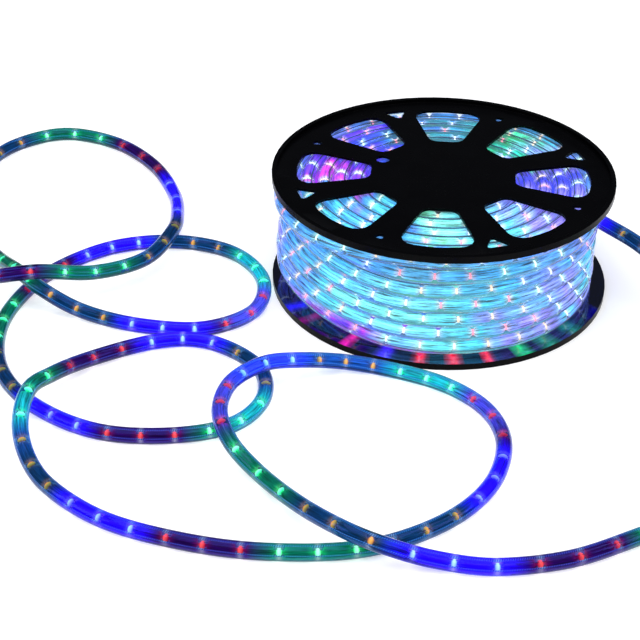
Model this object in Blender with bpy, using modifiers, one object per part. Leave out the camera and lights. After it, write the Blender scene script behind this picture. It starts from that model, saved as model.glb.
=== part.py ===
"""LED rope light on a two-flange plastic reel that lies flat, with a loose length laid in loops.

Metres, +Z up along the reel's axis. The origin is the centre of the reel's underside.
"""

import math

import bpy
import bmesh
from mathutils import Matrix, Vector

# Rope
ROPE_D = 0.013
ROPE_R = ROPE_D / 2
TOUCH_GAP = 0.0003

# Winding: rows one above the other, layers one outside the other
ROWS = 7
ROW_PITCH = 0.0134
LAYERS = 6
LAYER_PITCH = 0.0142
GROOVE_DEPTH = 0.0028
BORE_PLAY = 0.0015
WINDING_STEPS = 48

# How the outer layer lies: loose at the left, most of all low down, and close at the right
LOOSE_ANGLE = math.radians(188)
LOOSE_OUT = 0.0075
LOOSE_LEVEL = 0.28
LOOSE_REACH = 0.62
TIGHT_IN = 0.003

# Last turn, which lies over the outer layer and slants down to where the rope leaves
LAST_TURN_START = math.radians(262)
LAST_TURN_END = math.radians(22)
LAST_TURN_OUT = 0.0085
LAST_TURN_LIFT = 0.2
LAST_TURN_ABOVE = 0.0015
LAST_TURN_RUN_OFF = 0.012
LAST_TURN_KNOTS = 12
LAST_TURN_POINTS = 26

# Hub tube
HUB_R = 0.0505
HUB_WALL = 0.003
SPIGOT_WALL = 0.0025
SPIGOT_HEIGHT = 0.008

# Flanges
FLANGE_OVERHANG = 0.010
FLANGE_PLATE = 0.0025
RIM_WIDTH = 0.004
RIM_HEIGHT = 0.0058
HEAD_ROOM = 0.0007
REEL_STEPS = 72

# Openings in each flange
WINDOWS = 8
WINDOW_TURN = math.radians(-5.5)
WINDOW_INNER_R = 0.0615
WINDOW_OUTER_R = 0.1255
WINDOW_BULGE = 0.0045
WINDOW_INNER_HALF = 0.0135
WINDOW_OUTER_HALF = 0.033
WINDOW_INNER_FILLET = 0.0095
WINDOW_OUTER_FILLET = 0.014
WINDOW_BULGE_FILLET = 0.060
SPOKE_HOLE_R = 0.1195
BIG_HOLE_WIDTH = 0.022
BIG_HOLE_DEPTH = 0.017
SMALL_HOLE_WIDTH = 0.010
SMALL_HOLE_DEPTH = 0.011
SPOKE_HOLE_FILLET = 0.0022
START_HOLE_R = 0.0062
START_HOLE_CLEAR = 0.0005
START_HOLE_CENTRE_R = HUB_R + START_HOLE_CLEAR + START_HOLE_R
START_SPOKE = 3
FILLET_STEPS = 4

# End cap of the loose rope
CAP_R = 0.008
CAP_LENGTH = 0.022
CAP_SOCKET = 0.013
CAP_STEPS = 16

# Worked out from the sizes above
WINDING_BORE = HUB_R + BORE_PLAY
WINDING_R = WINDING_BORE + (LAYERS - 1) * LAYER_PITCH + ROPE_D
WINDING_HEIGHT = (ROWS - 1) * ROW_PITCH + ROPE_D
WINDING_BASE = RIM_HEIGHT + TOUCH_GAP
FLANGE_R = WINDING_R + FLANGE_OVERHANG
REEL_HEIGHT = 2 * RIM_HEIGHT + TOUCH_GAP + WINDING_HEIGHT + HEAD_ROOM

# Loose rope
LEAD_POINTS = 84
WELD = 0.00005
BEND_SHARE = 0.05
DENSE_STEPS = 24

# Route of the loose rope's centre line, from the winding outwards
ROUTE = [
    # off the winding at the right and down to the floor
    (0.1413, 0.0070, 0.0528), (0.1690, -0.0290, 0.0508), (0.2000, -0.0800, 0.0410),
    (0.2210, -0.1330, 0.0260), (0.2320, -0.1900, 0.0120), (0.2270, -0.2470, 0.0068),
    (0.2030, -0.2970, 0.0065), (0.1660, -0.3350, 0.0065), (0.1220, -0.3590, 0.0065),
    # along the front and over the first crossing
    (0.0700, -0.3840, 0.0065), (0.0170, -0.3930, 0.0065), (-0.0260, -0.3880, 0.0090),
    (-0.0570, -0.3850, 0.0175), (-0.0800, -0.3765, 0.0214), (-0.1160, -0.3390, 0.0150),
    (-0.1500, -0.2930, 0.0105),
    # up the left side of the first loop, over the second and third crossings
    (-0.1690, -0.2680, 0.0165), (-0.1785, -0.2420, 0.0208), (-0.1785, -0.2150, 0.0208),
    (-0.1700, -0.1900, 0.0203), (-0.1465, -0.1680, 0.0206), (-0.1220, -0.1595, 0.0180),
    (-0.0840, -0.1490, 0.0095), (-0.0400, -0.1580, 0.0065),
    # round the right side of the first loop
    (0.0010, -0.1800, 0.0065), (0.0270, -0.2110, 0.0065), (0.0360, -0.2500, 0.0065),
    (0.0230, -0.3010, 0.0065), (-0.0110, -0.3430, 0.0065),
    # along the front of the lower left loop
    (-0.0690, -0.3740, 0.0065), (-0.1400, -0.3790, 0.0065), (-0.2010, -0.3680, 0.0065),
    (-0.2610, -0.3430, 0.0065), (-0.3090, -0.2970, 0.0070), (-0.3290, -0.2500, 0.0150),
    (-0.3280, -0.2080, 0.0218), (-0.3150, -0.1810, 0.0170), (-0.2890, -0.1460, 0.0085),
    (-0.2410, -0.1180, 0.0065),
    # the small turn at the right of the lower left loop
    (-0.2060, -0.1140, 0.0065), (-0.1740, -0.1300, 0.0065), (-0.1500, -0.1600, 0.0065),
    (-0.1480, -0.1980, 0.0065), (-0.1680, -0.2300, 0.0065),
    # back to the left and round the outer left side
    (-0.2080, -0.2450, 0.0065), (-0.2710, -0.2420, 0.0065), (-0.3270, -0.2070, 0.0065),
    (-0.3590, -0.1600, 0.0065), (-0.3700, -0.1020, 0.0065), (-0.3610, -0.0500, 0.0065),
    # round the upper loop
    (-0.3380, -0.0050, 0.0065), (-0.2890, 0.0370, 0.0065), (-0.2310, 0.0470, 0.0065),
    (-0.1810, 0.0270, 0.0065), (-0.1540, -0.0180, 0.0065), (-0.1600, -0.0690, 0.0065),
    (-0.1990, -0.0965, 0.0065), (-0.2540, -0.0930, 0.0065), (-0.3080, -0.0720, 0.0085),
    (-0.3420, -0.0550, 0.0190), (-0.3620, -0.0330, 0.0210), (-0.3900, 0.0100, 0.0110),
    # the far loop at the back left
    (-0.4190, 0.0580, 0.0065), (-0.4380, 0.1170, 0.0065), (-0.4370, 0.1760, 0.0065),
    (-0.4130, 0.2350, 0.0065), (-0.3660, 0.2640, 0.0065), (-0.3130, 0.2460, 0.0065),
    (-0.2700, 0.1990, 0.0065), (-0.2440, 0.1380, 0.0070), (-0.2360, 0.0830, 0.0155),
    # over the upper loop's two sides and off to the left
    (-0.2370, 0.0400, 0.0215), (-0.2570, -0.0030, 0.0185), (-0.2990, -0.0360, 0.0235),
    (-0.3440, -0.0540, 0.0348), (-0.3880, -0.0480, 0.0250), (-0.4290, -0.0320, 0.0140),
    (-0.4640, -0.0220, 0.0086), (-0.4830, -0.0200, 0.0083), (-0.5020, -0.0200, 0.0083),
]

BLACK_PLASTIC = ((0.012, 0.012, 0.014, 1.0), 0.22, 0.0)
LIT_ROPE = ((0.28, 0.55, 0.95, 1.0), 0.25, 0.0)
CAP_PLASTIC = ((0.70, 0.74, 0.80, 1.0), 0.35, 0.0)


def clear_scene():
    """Remove every object that the file opened with."""
    for obj in list(bpy.data.objects):
        bpy.data.objects.remove(obj, do_unlink=True)


def new_collection(name):
    """Return a new collection linked to the scene."""
    collection = bpy.data.collections.new(name)
    bpy.context.scene.collection.children.link(collection)
    return collection


def make_material(name, finish):
    """Return a Principled material for a (colour, roughness, metallic) finish."""
    colour, roughness, metallic = finish
    material = bpy.data.materials.new(name)
    material.use_nodes = True
    shader = material.node_tree.nodes["Principled BSDF"]
    shader.inputs["Base Color"].default_value = colour
    shader.inputs["Roughness"].default_value = roughness
    shader.inputs["Metallic"].default_value = metallic
    return material


def add_object(name, data, collection, finish=None):
    """Link a new object to a collection, with its own material."""
    obj = bpy.data.objects.new(name, data)
    collection.objects.link(obj)
    if finish:
        data.materials.append(make_material(name + "_finish", finish))
    return obj


def turned(name, profile, steps, collection, finish=None):
    """Turn a closed profile of (radius, height) points round the Z axis."""
    mesh = bpy.data.meshes.new(name)
    count = len(profile)
    edges = [(i, (i + 1) % count) for i in range(count)]
    if profile[0][0] == 0.0 and profile[-1][0] == 0.0:
        edges.pop()
    mesh.from_pydata([(r, 0.0, z) for r, z in profile], edges, [])
    obj = add_object(name, mesh, collection, finish)
    screw = obj.modifiers.new("turn", "SCREW")
    screw.steps = steps
    screw.render_steps = steps
    screw.use_merge_vertices = True
    screw.merge_threshold = WELD
    return obj


def rounded_outline(corners, fillets):
    """Return the outline through corners, each rounded by its own fillet radius."""
    points = []
    count = len(corners)
    for i, fillet in enumerate(fillets):
        here = Vector(corners[i])
        before = (Vector(corners[i - 1]) - here).normalized()
        after = (Vector(corners[(i + 1) % count]) - here).normalized()
        half = before.angle(after) / 2
        fillet = min(fillet, 0.45 * math.tan(half) * min(
            (Vector(corners[i - 1]) - here).length, (Vector(corners[(i + 1) % count]) - here).length))
        centre = here + (before + after).normalized() * fillet / math.sin(half)
        start = here + before * fillet / math.tan(half) - centre
        end = here + after * fillet / math.tan(half) - centre
        sweep = start.angle_signed(end)
        for step in range(FILLET_STEPS + 1):
            turn = Matrix.Rotation(-sweep * step / FILLET_STEPS, 2)
            points.append(centre + turn @ start)
    return points


def add_prism(bm, outline, low, high, angle):
    """Add an upright prism over an outline that is turned by an angle about the axis."""
    turn = Matrix.Rotation(angle, 2)
    ring = [turn @ point for point in outline]
    bottom = [bm.verts.new((p.x, p.y, low)) for p in ring]
    face = bm.faces.new(bottom)
    extruded = bmesh.ops.extrude_face_region(bm, geom=[face])
    top = [item for item in extruded["geom"] if isinstance(item, bmesh.types.BMVert)]
    bmesh.ops.translate(bm, verts=top, vec=(0.0, 0.0, high - low))


def window_outline():
    """Return a flange window: a wedge with round corners, its wide side outwards."""
    shoulder_r = WINDOW_OUTER_R - WINDOW_BULGE
    corners = [
        (WINDOW_INNER_R, -WINDOW_INNER_HALF), (shoulder_r, -WINDOW_OUTER_HALF), (WINDOW_OUTER_R, 0.0),
        (shoulder_r, WINDOW_OUTER_HALF), (WINDOW_INNER_R, WINDOW_INNER_HALF),
    ]
    fillets = [WINDOW_INNER_FILLET, WINDOW_OUTER_FILLET, WINDOW_BULGE_FILLET,
               WINDOW_OUTER_FILLET, WINDOW_INNER_FILLET]
    return rounded_outline(corners, fillets)


def spoke_hole_outline(width, depth):
    """Return a small three-cornered hole near the rim, its point towards the hub."""
    inner = SPOKE_HOLE_R - depth / 2
    outer = SPOKE_HOLE_R + depth / 2
    corners = [(inner, 0.0), (outer, -width / 2), (outer, width / 2)]
    return rounded_outline(corners, [SPOKE_HOLE_FILLET] * 3)


def start_hole_outline():
    """Return the round hole beside the hub, where the rope's inner end can be reached."""
    count = 4 * FILLET_STEPS
    turns = [2 * math.pi * i / count for i in range(count)]
    return [Vector((START_HOLE_CENTRE_R + START_HOLE_R * math.cos(t), START_HOLE_R * math.sin(t)))
            for t in turns]


def flange_cutter(name, low, high, collection):
    """Return one cutter with every opening of a flange."""
    bm = bmesh.new()
    pitch = 2 * math.pi / WINDOWS
    for i in range(WINDOWS):
        window_angle = WINDOW_TURN + i * pitch
        spoke_angle = window_angle + pitch / 2
        add_prism(bm, window_outline(), low, high, window_angle)
        if i % 2 == 0:
            hole = spoke_hole_outline(BIG_HOLE_WIDTH, BIG_HOLE_DEPTH)
        else:
            hole = spoke_hole_outline(SMALL_HOLE_WIDTH, SMALL_HOLE_DEPTH)
        add_prism(bm, hole, low, high, spoke_angle)
    add_prism(bm, start_hole_outline(), low, high, WINDOW_TURN + (START_SPOKE + 0.5) * pitch)
    bmesh.ops.recalc_face_normals(bm, faces=bm.faces)
    mesh = bpy.data.meshes.new(name)
    bm.to_mesh(mesh)
    bm.free()
    cutter = add_object(name, mesh, collection)
    cutter.hide_render = True
    cutter.display_type = "WIRE"
    return cutter


def flange_profile():
    """Return the lower flange's section: plate, spigot for the hub and the lip it stands on."""
    spigot_outer = HUB_R - HUB_WALL - TOUCH_GAP
    spigot_inner = spigot_outer - SPIGOT_WALL
    spigot_top = RIM_HEIGHT + SPIGOT_HEIGHT
    under = RIM_HEIGHT - FLANGE_PLATE
    lip_inner = FLANGE_R - RIM_WIDTH
    return [
        (0.0, RIM_HEIGHT), (spigot_inner, RIM_HEIGHT), (spigot_inner, spigot_top),
        (spigot_outer, spigot_top), (spigot_outer, RIM_HEIGHT), (FLANGE_R, RIM_HEIGHT),
        (FLANGE_R, 0.0), (lip_inner, 0.0), (lip_inner, under), (0.0, under),
    ]


def make_flange(name, upper, parts, cutters):
    """Make one flange; the upper one is the lower one's mirror image at the reel's top."""
    profile = flange_profile()
    low, high = -RIM_HEIGHT, 2 * RIM_HEIGHT
    if upper:
        profile = [(r, REEL_HEIGHT - z) for r, z in reversed(profile)]
        low, high = REEL_HEIGHT - high, REEL_HEIGHT - low
    flange = turned(name, profile, REEL_STEPS, parts, BLACK_PLASTIC)
    cut = flange.modifiers.new("openings", "BOOLEAN")
    cut.operation = "DIFFERENCE"
    cut.object = flange_cutter(name + "_openings", low, high, cutters)
    return flange


def make_hub(parts):
    """Make the hub tube that stands between the two flanges."""
    low = RIM_HEIGHT + TOUCH_GAP
    high = REEL_HEIGHT - RIM_HEIGHT - TOUCH_GAP
    bore = HUB_R - HUB_WALL
    profile = [(HUB_R, high), (HUB_R, low), (bore, low), (bore, high)]
    return turned("hub", profile, REEL_STEPS, parts, BLACK_PLASTIC)


def groove_run(start, step, normal, count):
    """Return points along a wound face: each turn is a crest of two points after a groove."""
    points = []
    for i in range(count):
        begin = start + step * i
        if i:
            points.append(begin - normal * GROOVE_DEPTH)
        points.append(begin + step * 0.25)
        points.append(begin + step * 0.75)
    return points


def ease(share):
    """Return a share from 0 to 1 that starts and stops gently."""
    share = min(max(share, 0.0), 1.0)
    return share * share * (3.0 - 2.0 * share)


def looseness(angle, height):
    """Return how far the outer layer stands out at an angle and a height."""
    level = (height - WINDING_BASE) / WINDING_HEIGHT
    left = max(0.0, math.cos(angle - LOOSE_ANGLE)) ** 2
    right = max(0.0, math.cos(angle)) ** 2
    bulge = LOOSE_OUT * max(0.0, 1.0 - abs(level - LOOSE_LEVEL) / LOOSE_REACH)
    return left * bulge - right * TIGHT_IN * (1.0 - level)


def last_turn_route():
    """Return the last turn's centre line, from the top row over the outer layer to the loose rope."""
    leaving = (Vector(ROUTE[1]) - Vector(ROUTE[0])).normalized()
    end = Vector(ROUTE[0]) - leaving * TOUCH_GAP
    start_r = WINDING_R - ROPE_R - TOUCH_GAP
    top = WINDING_BASE + WINDING_HEIGHT - ROPE_R - TOUCH_GAP
    low = end.z + LAST_TURN_ABOVE
    knots = []
    for i in range(LAST_TURN_KNOTS + 1):
        share = i / LAST_TURN_KNOTS
        angle = LAST_TURN_START + (LAST_TURN_END - LAST_TURN_START) * share
        radius = start_r + LAST_TURN_OUT * ease(share / LAST_TURN_LIFT)
        height = top + (low - top) * ease(share)
        knots.append((radius * math.cos(angle), radius * math.sin(angle), height))
    knots += [tuple(end - leaving * LAST_TURN_RUN_OFF), tuple(end)]
    return thin_out(smooth_route(knots), LAST_TURN_POINTS)


def as_mesh(obj, collection):
    """Put a plain mesh with welded seams in the place of an object, under the same name."""
    graph = bpy.context.evaluated_depsgraph_get()
    mesh = bpy.data.meshes.new_from_object(obj.evaluated_get(graph))
    bm = bmesh.new()
    bm.from_mesh(mesh)
    bmesh.ops.remove_doubles(bm, verts=bm.verts, dist=WELD)
    bmesh.ops.recalc_face_normals(bm, faces=bm.faces)
    bm.to_mesh(mesh)
    bm.free()
    name, place = obj.name, obj.matrix_world.copy()
    bpy.data.objects.remove(obj, do_unlink=True)
    plain = add_object(name, mesh, collection)
    plain.matrix_world = place
    return plain


def loosen(winding):
    """Move the outer layer of a wound ring out and in, as loosely as it lies."""
    layer_start = WINDING_R - LAYER_PITCH / 2
    for vertex in winding.data.vertices:
        radius = math.hypot(vertex.co.x, vertex.co.y)
        if radius > layer_start:
            angle = math.atan2(vertex.co.y, vertex.co.x)
            stretch = 1.0 + looseness(angle, vertex.co.z) / radius
            vertex.co.x *= stretch
            vertex.co.y *= stretch


def make_winding(parts, cutters):
    """Make the wound rope as one ring whose turns show, with the last turn laid over it."""
    low = WINDING_BASE
    high = WINDING_BASE + WINDING_HEIGHT
    row = Vector((0.0, -WINDING_HEIGHT / ROWS))
    layer = Vector(((WINDING_R - WINDING_BORE) / LAYERS, 0.0))
    side = groove_run(Vector((WINDING_R, high)), row, Vector((1.0, 0.0)), ROWS)
    under = groove_run(Vector((WINDING_R, low)), -layer, Vector((0.0, -1.0)), LAYERS)
    over = groove_run(Vector((WINDING_BORE, high)), layer, Vector((0.0, 1.0)), LAYERS)
    ring = turned("rope_winding", [tuple(p) for p in side + under + over],
                  WINDING_STEPS, parts, LIT_ROPE)
    winding = as_mesh(ring, parts)
    loosen(winding)
    last_turn = as_mesh(make_tube("last_turn", last_turn_route(), cutters), cutters)
    last_turn.hide_render = True
    last_turn.display_type = "WIRE"
    join = winding.modifiers.new("last_turn", "BOOLEAN")
    join.operation = "UNION"
    join.object = last_turn
    return winding


def smooth_route(points):
    """Return dense points of a smooth curve through the route, never below the rope's radius."""
    knots = [Vector(p) for p in points]
    knots.insert(0, knots[0] * 2 - knots[1])
    knots.append(knots[-1] * 2 - knots[-2])
    dense = []
    for a, b, c, d in zip(knots, knots[1:], knots[2:], knots[3:]):
        t0 = 0.0
        t1 = t0 + math.sqrt((b - a).length)
        t2 = t1 + math.sqrt((c - b).length)
        t3 = t2 + math.sqrt((d - c).length)
        for step in range(DENSE_STEPS):
            t = t1 + (t2 - t1) * step / DENSE_STEPS
            ab = a.lerp(b, (t - t0) / (t1 - t0))
            bc = b.lerp(c, (t - t1) / (t2 - t1))
            cd = c.lerp(d, (t - t2) / (t3 - t2))
            abc = ab.lerp(bc, (t - t0) / (t2 - t0))
            bcd = bc.lerp(cd, (t - t1) / (t3 - t1))
            dense.append(abc.lerp(bcd, (t - t1) / (t2 - t1)))
    dense.append(knots[-2])
    for point in dense:
        point.z = max(point.z, ROPE_R)
    return dense


def thin_out(dense, count):
    """Return points picked along a dense line, closer together where it bends."""
    reach = [0.0]
    for i in range(1, len(dense)):
        step = dense[i] - dense[i - 1]
        bend = 0.0
        if i + 1 < len(dense):
            bend = step.angle(dense[i + 1] - dense[i])
        reach.append(reach[-1] + step.length + BEND_SHARE * bend)
    picked = [dense[0]]
    at = 0
    for i in range(1, count - 1):
        goal = reach[-1] * i / (count - 1)
        while reach[at + 1] < goal:
            at += 1
        share = (goal - reach[at]) / (reach[at + 1] - reach[at])
        picked.append(dense[at].lerp(dense[at + 1], share))
    picked.append(dense[-1])
    return picked


def make_tube(name, route, collection, finish=None):
    """Return a rope-thick tube along a route, as a curve with a bevel and filled caps."""
    curve = bpy.data.curves.new(name, "CURVE")
    curve.dimensions = "3D"
    curve.bevel_depth = ROPE_R
    curve.bevel_resolution = 2
    curve.use_fill_caps = True
    spline = curve.splines.new("POLY")
    spline.points.add(len(route) - 1)
    for point, place in zip(spline.points, route):
        point.co = (*place, 1.0)
    return add_object(name, curve, collection, finish)


def make_end_cap(route, parts):
    """Make the moulded cap that closes the rope's loose end."""
    end = route[-1]
    along = (end - route[-2]).normalized()
    socket_r = ROPE_R + TOUCH_GAP
    floor = CAP_SOCKET
    nose = CAP_R * 0.75
    profile = [
        (0.0, CAP_LENGTH), (nose, CAP_LENGTH), (CAP_R, CAP_LENGTH - (CAP_R - nose)),
        (CAP_R, 0.0), (socket_r, 0.0), (socket_r, floor), (0.0, floor),
    ]
    cap = turned("end_cap", profile, CAP_STEPS, parts, CAP_PLASTIC)
    cap.rotation_euler = along.to_track_quat("Z", "Y").to_euler()
    cap.location = end - along * (CAP_SOCKET - TOUCH_GAP)
    return cap


def main():
    """Build the reel, its winding and the loose rope."""
    clear_scene()
    parts = new_collection("led_rope_light")
    cutters = new_collection("cutters")
    make_flange("bottom_flange", False, parts, cutters)
    make_flange("top_flange", True, parts, cutters)
    make_hub(parts)
    make_winding(parts, cutters)
    route = thin_out(smooth_route(ROUTE), LEAD_POINTS)
    make_tube("rope_lead", route, parts, LIT_ROPE)
    make_end_cap(route, parts)


main()
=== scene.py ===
"""Looks of the LED rope light: a clear jacket over lit cores, lamps and wires, on a black plastic reel."""

import logging
import math
import random
from collections.abc import Callable, Sequence
from dataclasses import dataclass, field
from enum import Enum

import bmesh
import bpy
from mathutils import Matrix, Vector

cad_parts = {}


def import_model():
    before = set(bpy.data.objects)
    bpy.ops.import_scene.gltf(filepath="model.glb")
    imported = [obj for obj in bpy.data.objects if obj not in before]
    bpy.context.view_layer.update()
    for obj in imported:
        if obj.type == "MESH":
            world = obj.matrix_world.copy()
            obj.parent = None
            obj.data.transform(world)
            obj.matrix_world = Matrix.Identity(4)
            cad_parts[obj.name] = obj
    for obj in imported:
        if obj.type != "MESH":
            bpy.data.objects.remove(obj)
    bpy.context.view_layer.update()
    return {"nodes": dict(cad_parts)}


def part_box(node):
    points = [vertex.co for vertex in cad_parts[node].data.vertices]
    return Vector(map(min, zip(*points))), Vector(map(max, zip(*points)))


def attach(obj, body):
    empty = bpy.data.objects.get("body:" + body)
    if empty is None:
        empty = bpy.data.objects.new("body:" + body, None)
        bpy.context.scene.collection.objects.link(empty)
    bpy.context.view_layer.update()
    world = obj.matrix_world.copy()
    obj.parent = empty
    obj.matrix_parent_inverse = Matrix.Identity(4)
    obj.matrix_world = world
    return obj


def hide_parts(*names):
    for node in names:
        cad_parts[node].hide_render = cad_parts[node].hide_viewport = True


log = logging.getLogger("rope_light")

Colour = tuple[float, float, float]
Mesh = bpy.types.Mesh
Node = bpy.types.Node
Piece = bpy.types.Object
Socket = bpy.types.NodeSocket

BODY = "root"
MM = 0.001
BLACK = (0.0, 0.0, 0.0)
WHITE = (1.0, 1.0, 1.0)
WELD = 0.01 * MM
SHARP_ANGLE = math.radians(40)
EDGE_ANGLE = math.radians(35)
FLAT_ANGLE = math.radians(1)

# Photograph's camera: a lens in pixels of a 640 pixel frame
FRAME_PIXELS = 640.0
LENS_PIXELS = 1659.66
SENSOR_WIDTH = 36.0
CAMERA_PLACE = (-0.10378, -1.25724, 0.76046)
CAMERA_PITCH = 0.57045
CAMERA_ROLL = 0.00836

# Loose rope's centre line from the winding outwards, the same points as in the part's source
ROUTE = [
    # off the winding at the right and down to the floor
    (0.1413, 0.0070, 0.0528), (0.1690, -0.0290, 0.0508), (0.2000, -0.0800, 0.0410),
    (0.2210, -0.1330, 0.0260), (0.2320, -0.1900, 0.0120), (0.2270, -0.2470, 0.0068),
    (0.2030, -0.2970, 0.0065), (0.1660, -0.3350, 0.0065), (0.1220, -0.3590, 0.0065),
    # along the front and over the first crossing
    (0.0700, -0.3840, 0.0065), (0.0170, -0.3930, 0.0065), (-0.0260, -0.3880, 0.0090),
    (-0.0570, -0.3850, 0.0175), (-0.0800, -0.3765, 0.0214), (-0.1160, -0.3390, 0.0150),
    (-0.1500, -0.2930, 0.0105),
    # up the left side of the first loop, over the second and third crossings
    (-0.1690, -0.2680, 0.0165), (-0.1785, -0.2420, 0.0208), (-0.1785, -0.2150, 0.0208),
    (-0.1700, -0.1900, 0.0203), (-0.1465, -0.1680, 0.0206), (-0.1220, -0.1595, 0.0180),
    (-0.0840, -0.1490, 0.0095), (-0.0400, -0.1580, 0.0065),
    # round the right side of the first loop
    (0.0010, -0.1800, 0.0065), (0.0270, -0.2110, 0.0065), (0.0360, -0.2500, 0.0065),
    (0.0230, -0.3010, 0.0065), (-0.0110, -0.3430, 0.0065),
    # along the front of the lower left loop
    (-0.0690, -0.3740, 0.0065), (-0.1400, -0.3790, 0.0065), (-0.2010, -0.3680, 0.0065),
    (-0.2610, -0.3430, 0.0065), (-0.3090, -0.2970, 0.0070), (-0.3290, -0.2500, 0.0150),
    (-0.3280, -0.2080, 0.0218), (-0.3150, -0.1810, 0.0170), (-0.2890, -0.1460, 0.0085),
    (-0.2410, -0.1180, 0.0065),
    # the small turn at the right of the lower left loop
    (-0.2060, -0.1140, 0.0065), (-0.1740, -0.1300, 0.0065), (-0.1500, -0.1600, 0.0065),
    (-0.1480, -0.1980, 0.0065), (-0.1680, -0.2300, 0.0065),
    # back to the left and round the outer left side
    (-0.2080, -0.2450, 0.0065), (-0.2710, -0.2420, 0.0065), (-0.3270, -0.2070, 0.0065),
    (-0.3590, -0.1600, 0.0065), (-0.3700, -0.1020, 0.0065), (-0.3610, -0.0500, 0.0065),
    # round the upper loop
    (-0.3380, -0.0050, 0.0065), (-0.2890, 0.0370, 0.0065), (-0.2310, 0.0470, 0.0065),
    (-0.1810, 0.0270, 0.0065), (-0.1540, -0.0180, 0.0065), (-0.1600, -0.0690, 0.0065),
    (-0.1990, -0.0965, 0.0065), (-0.2540, -0.0930, 0.0065), (-0.3080, -0.0720, 0.0085),
    (-0.3420, -0.0550, 0.0190), (-0.3620, -0.0330, 0.0210), (-0.3900, 0.0100, 0.0110),
    # the far loop at the back left
    (-0.4190, 0.0580, 0.0065), (-0.4380, 0.1170, 0.0065), (-0.4370, 0.1760, 0.0065),
    (-0.4130, 0.2350, 0.0065), (-0.3660, 0.2640, 0.0065), (-0.3130, 0.2460, 0.0065),
    (-0.2700, 0.1990, 0.0065), (-0.2440, 0.1380, 0.0070), (-0.2360, 0.0830, 0.0155),
    # over the upper loop's two sides and off to the left
    (-0.2370, 0.0400, 0.0215), (-0.2570, -0.0030, 0.0185), (-0.2990, -0.0360, 0.0235),
    (-0.3440, -0.0540, 0.0348), (-0.3880, -0.0480, 0.0250), (-0.4290, -0.0320, 0.0140),
    (-0.4640, -0.0220, 0.0086), (-0.4830, -0.0200, 0.0083), (-0.5020, -0.0200, 0.0083),
]


class Lamp(Enum):
    """The lamps' colours, in their order along the rope, each with its share of a run of twelve."""

    RED = 0
    BLUE = 1
    ORANGE = 2
    GREEN = 3


LAMPS_PER_COLOUR = 3
LAMPS_PER_RUN = LAMPS_PER_COLOUR * len(Lamp)


class Side(Enum):
    """The two wires of the rope, by the side of the core on which they lie."""

    LEFT = -1
    RIGHT = 1


@dataclass(frozen=True)
class RopeSize:
    """Cross-section of the rope, in metres."""

    radius: float = 6.5 * MM
    core_radius: float = 2.75 * MM
    wire_radius: float = 0.5 * MM
    wire_offset: float = 3.6 * MM
    bead_radius: float = 2.1 * MM
    bead_half_length: float = 2.3 * MM
    lead_wire_radius: float = 0.2 * MM
    lead_wire_half_length: float = 3.6 * MM
    lead_wire_height: float = 1.7 * MM
    lamp_pitch: float = 27.8 * MM


ROPE = RopeSize()


@dataclass(frozen=True)
class Waist:
    """Narrowing of the core round a lamp: its share of the full girth, half its length and its slopes."""

    share: float
    half_length: float
    slope: float


def srgb(red: int, green: int, blue: int) -> Colour:
    """Return a linear colour from 0 to 255 display values.

    Args:
        red: Red display value.
        green: Green display value.
        blue: Blue display value.

    Returns:
        The linear colour that shows as those values.
    """
    def linear(value: int) -> float:
        """Return one linear channel."""
        share = value / 255.0
        return share / 12.92 if share <= 0.04045 else ((share + 0.055) / 1.055) ** 2.4
    return linear(red), linear(green), linear(blue)


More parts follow.
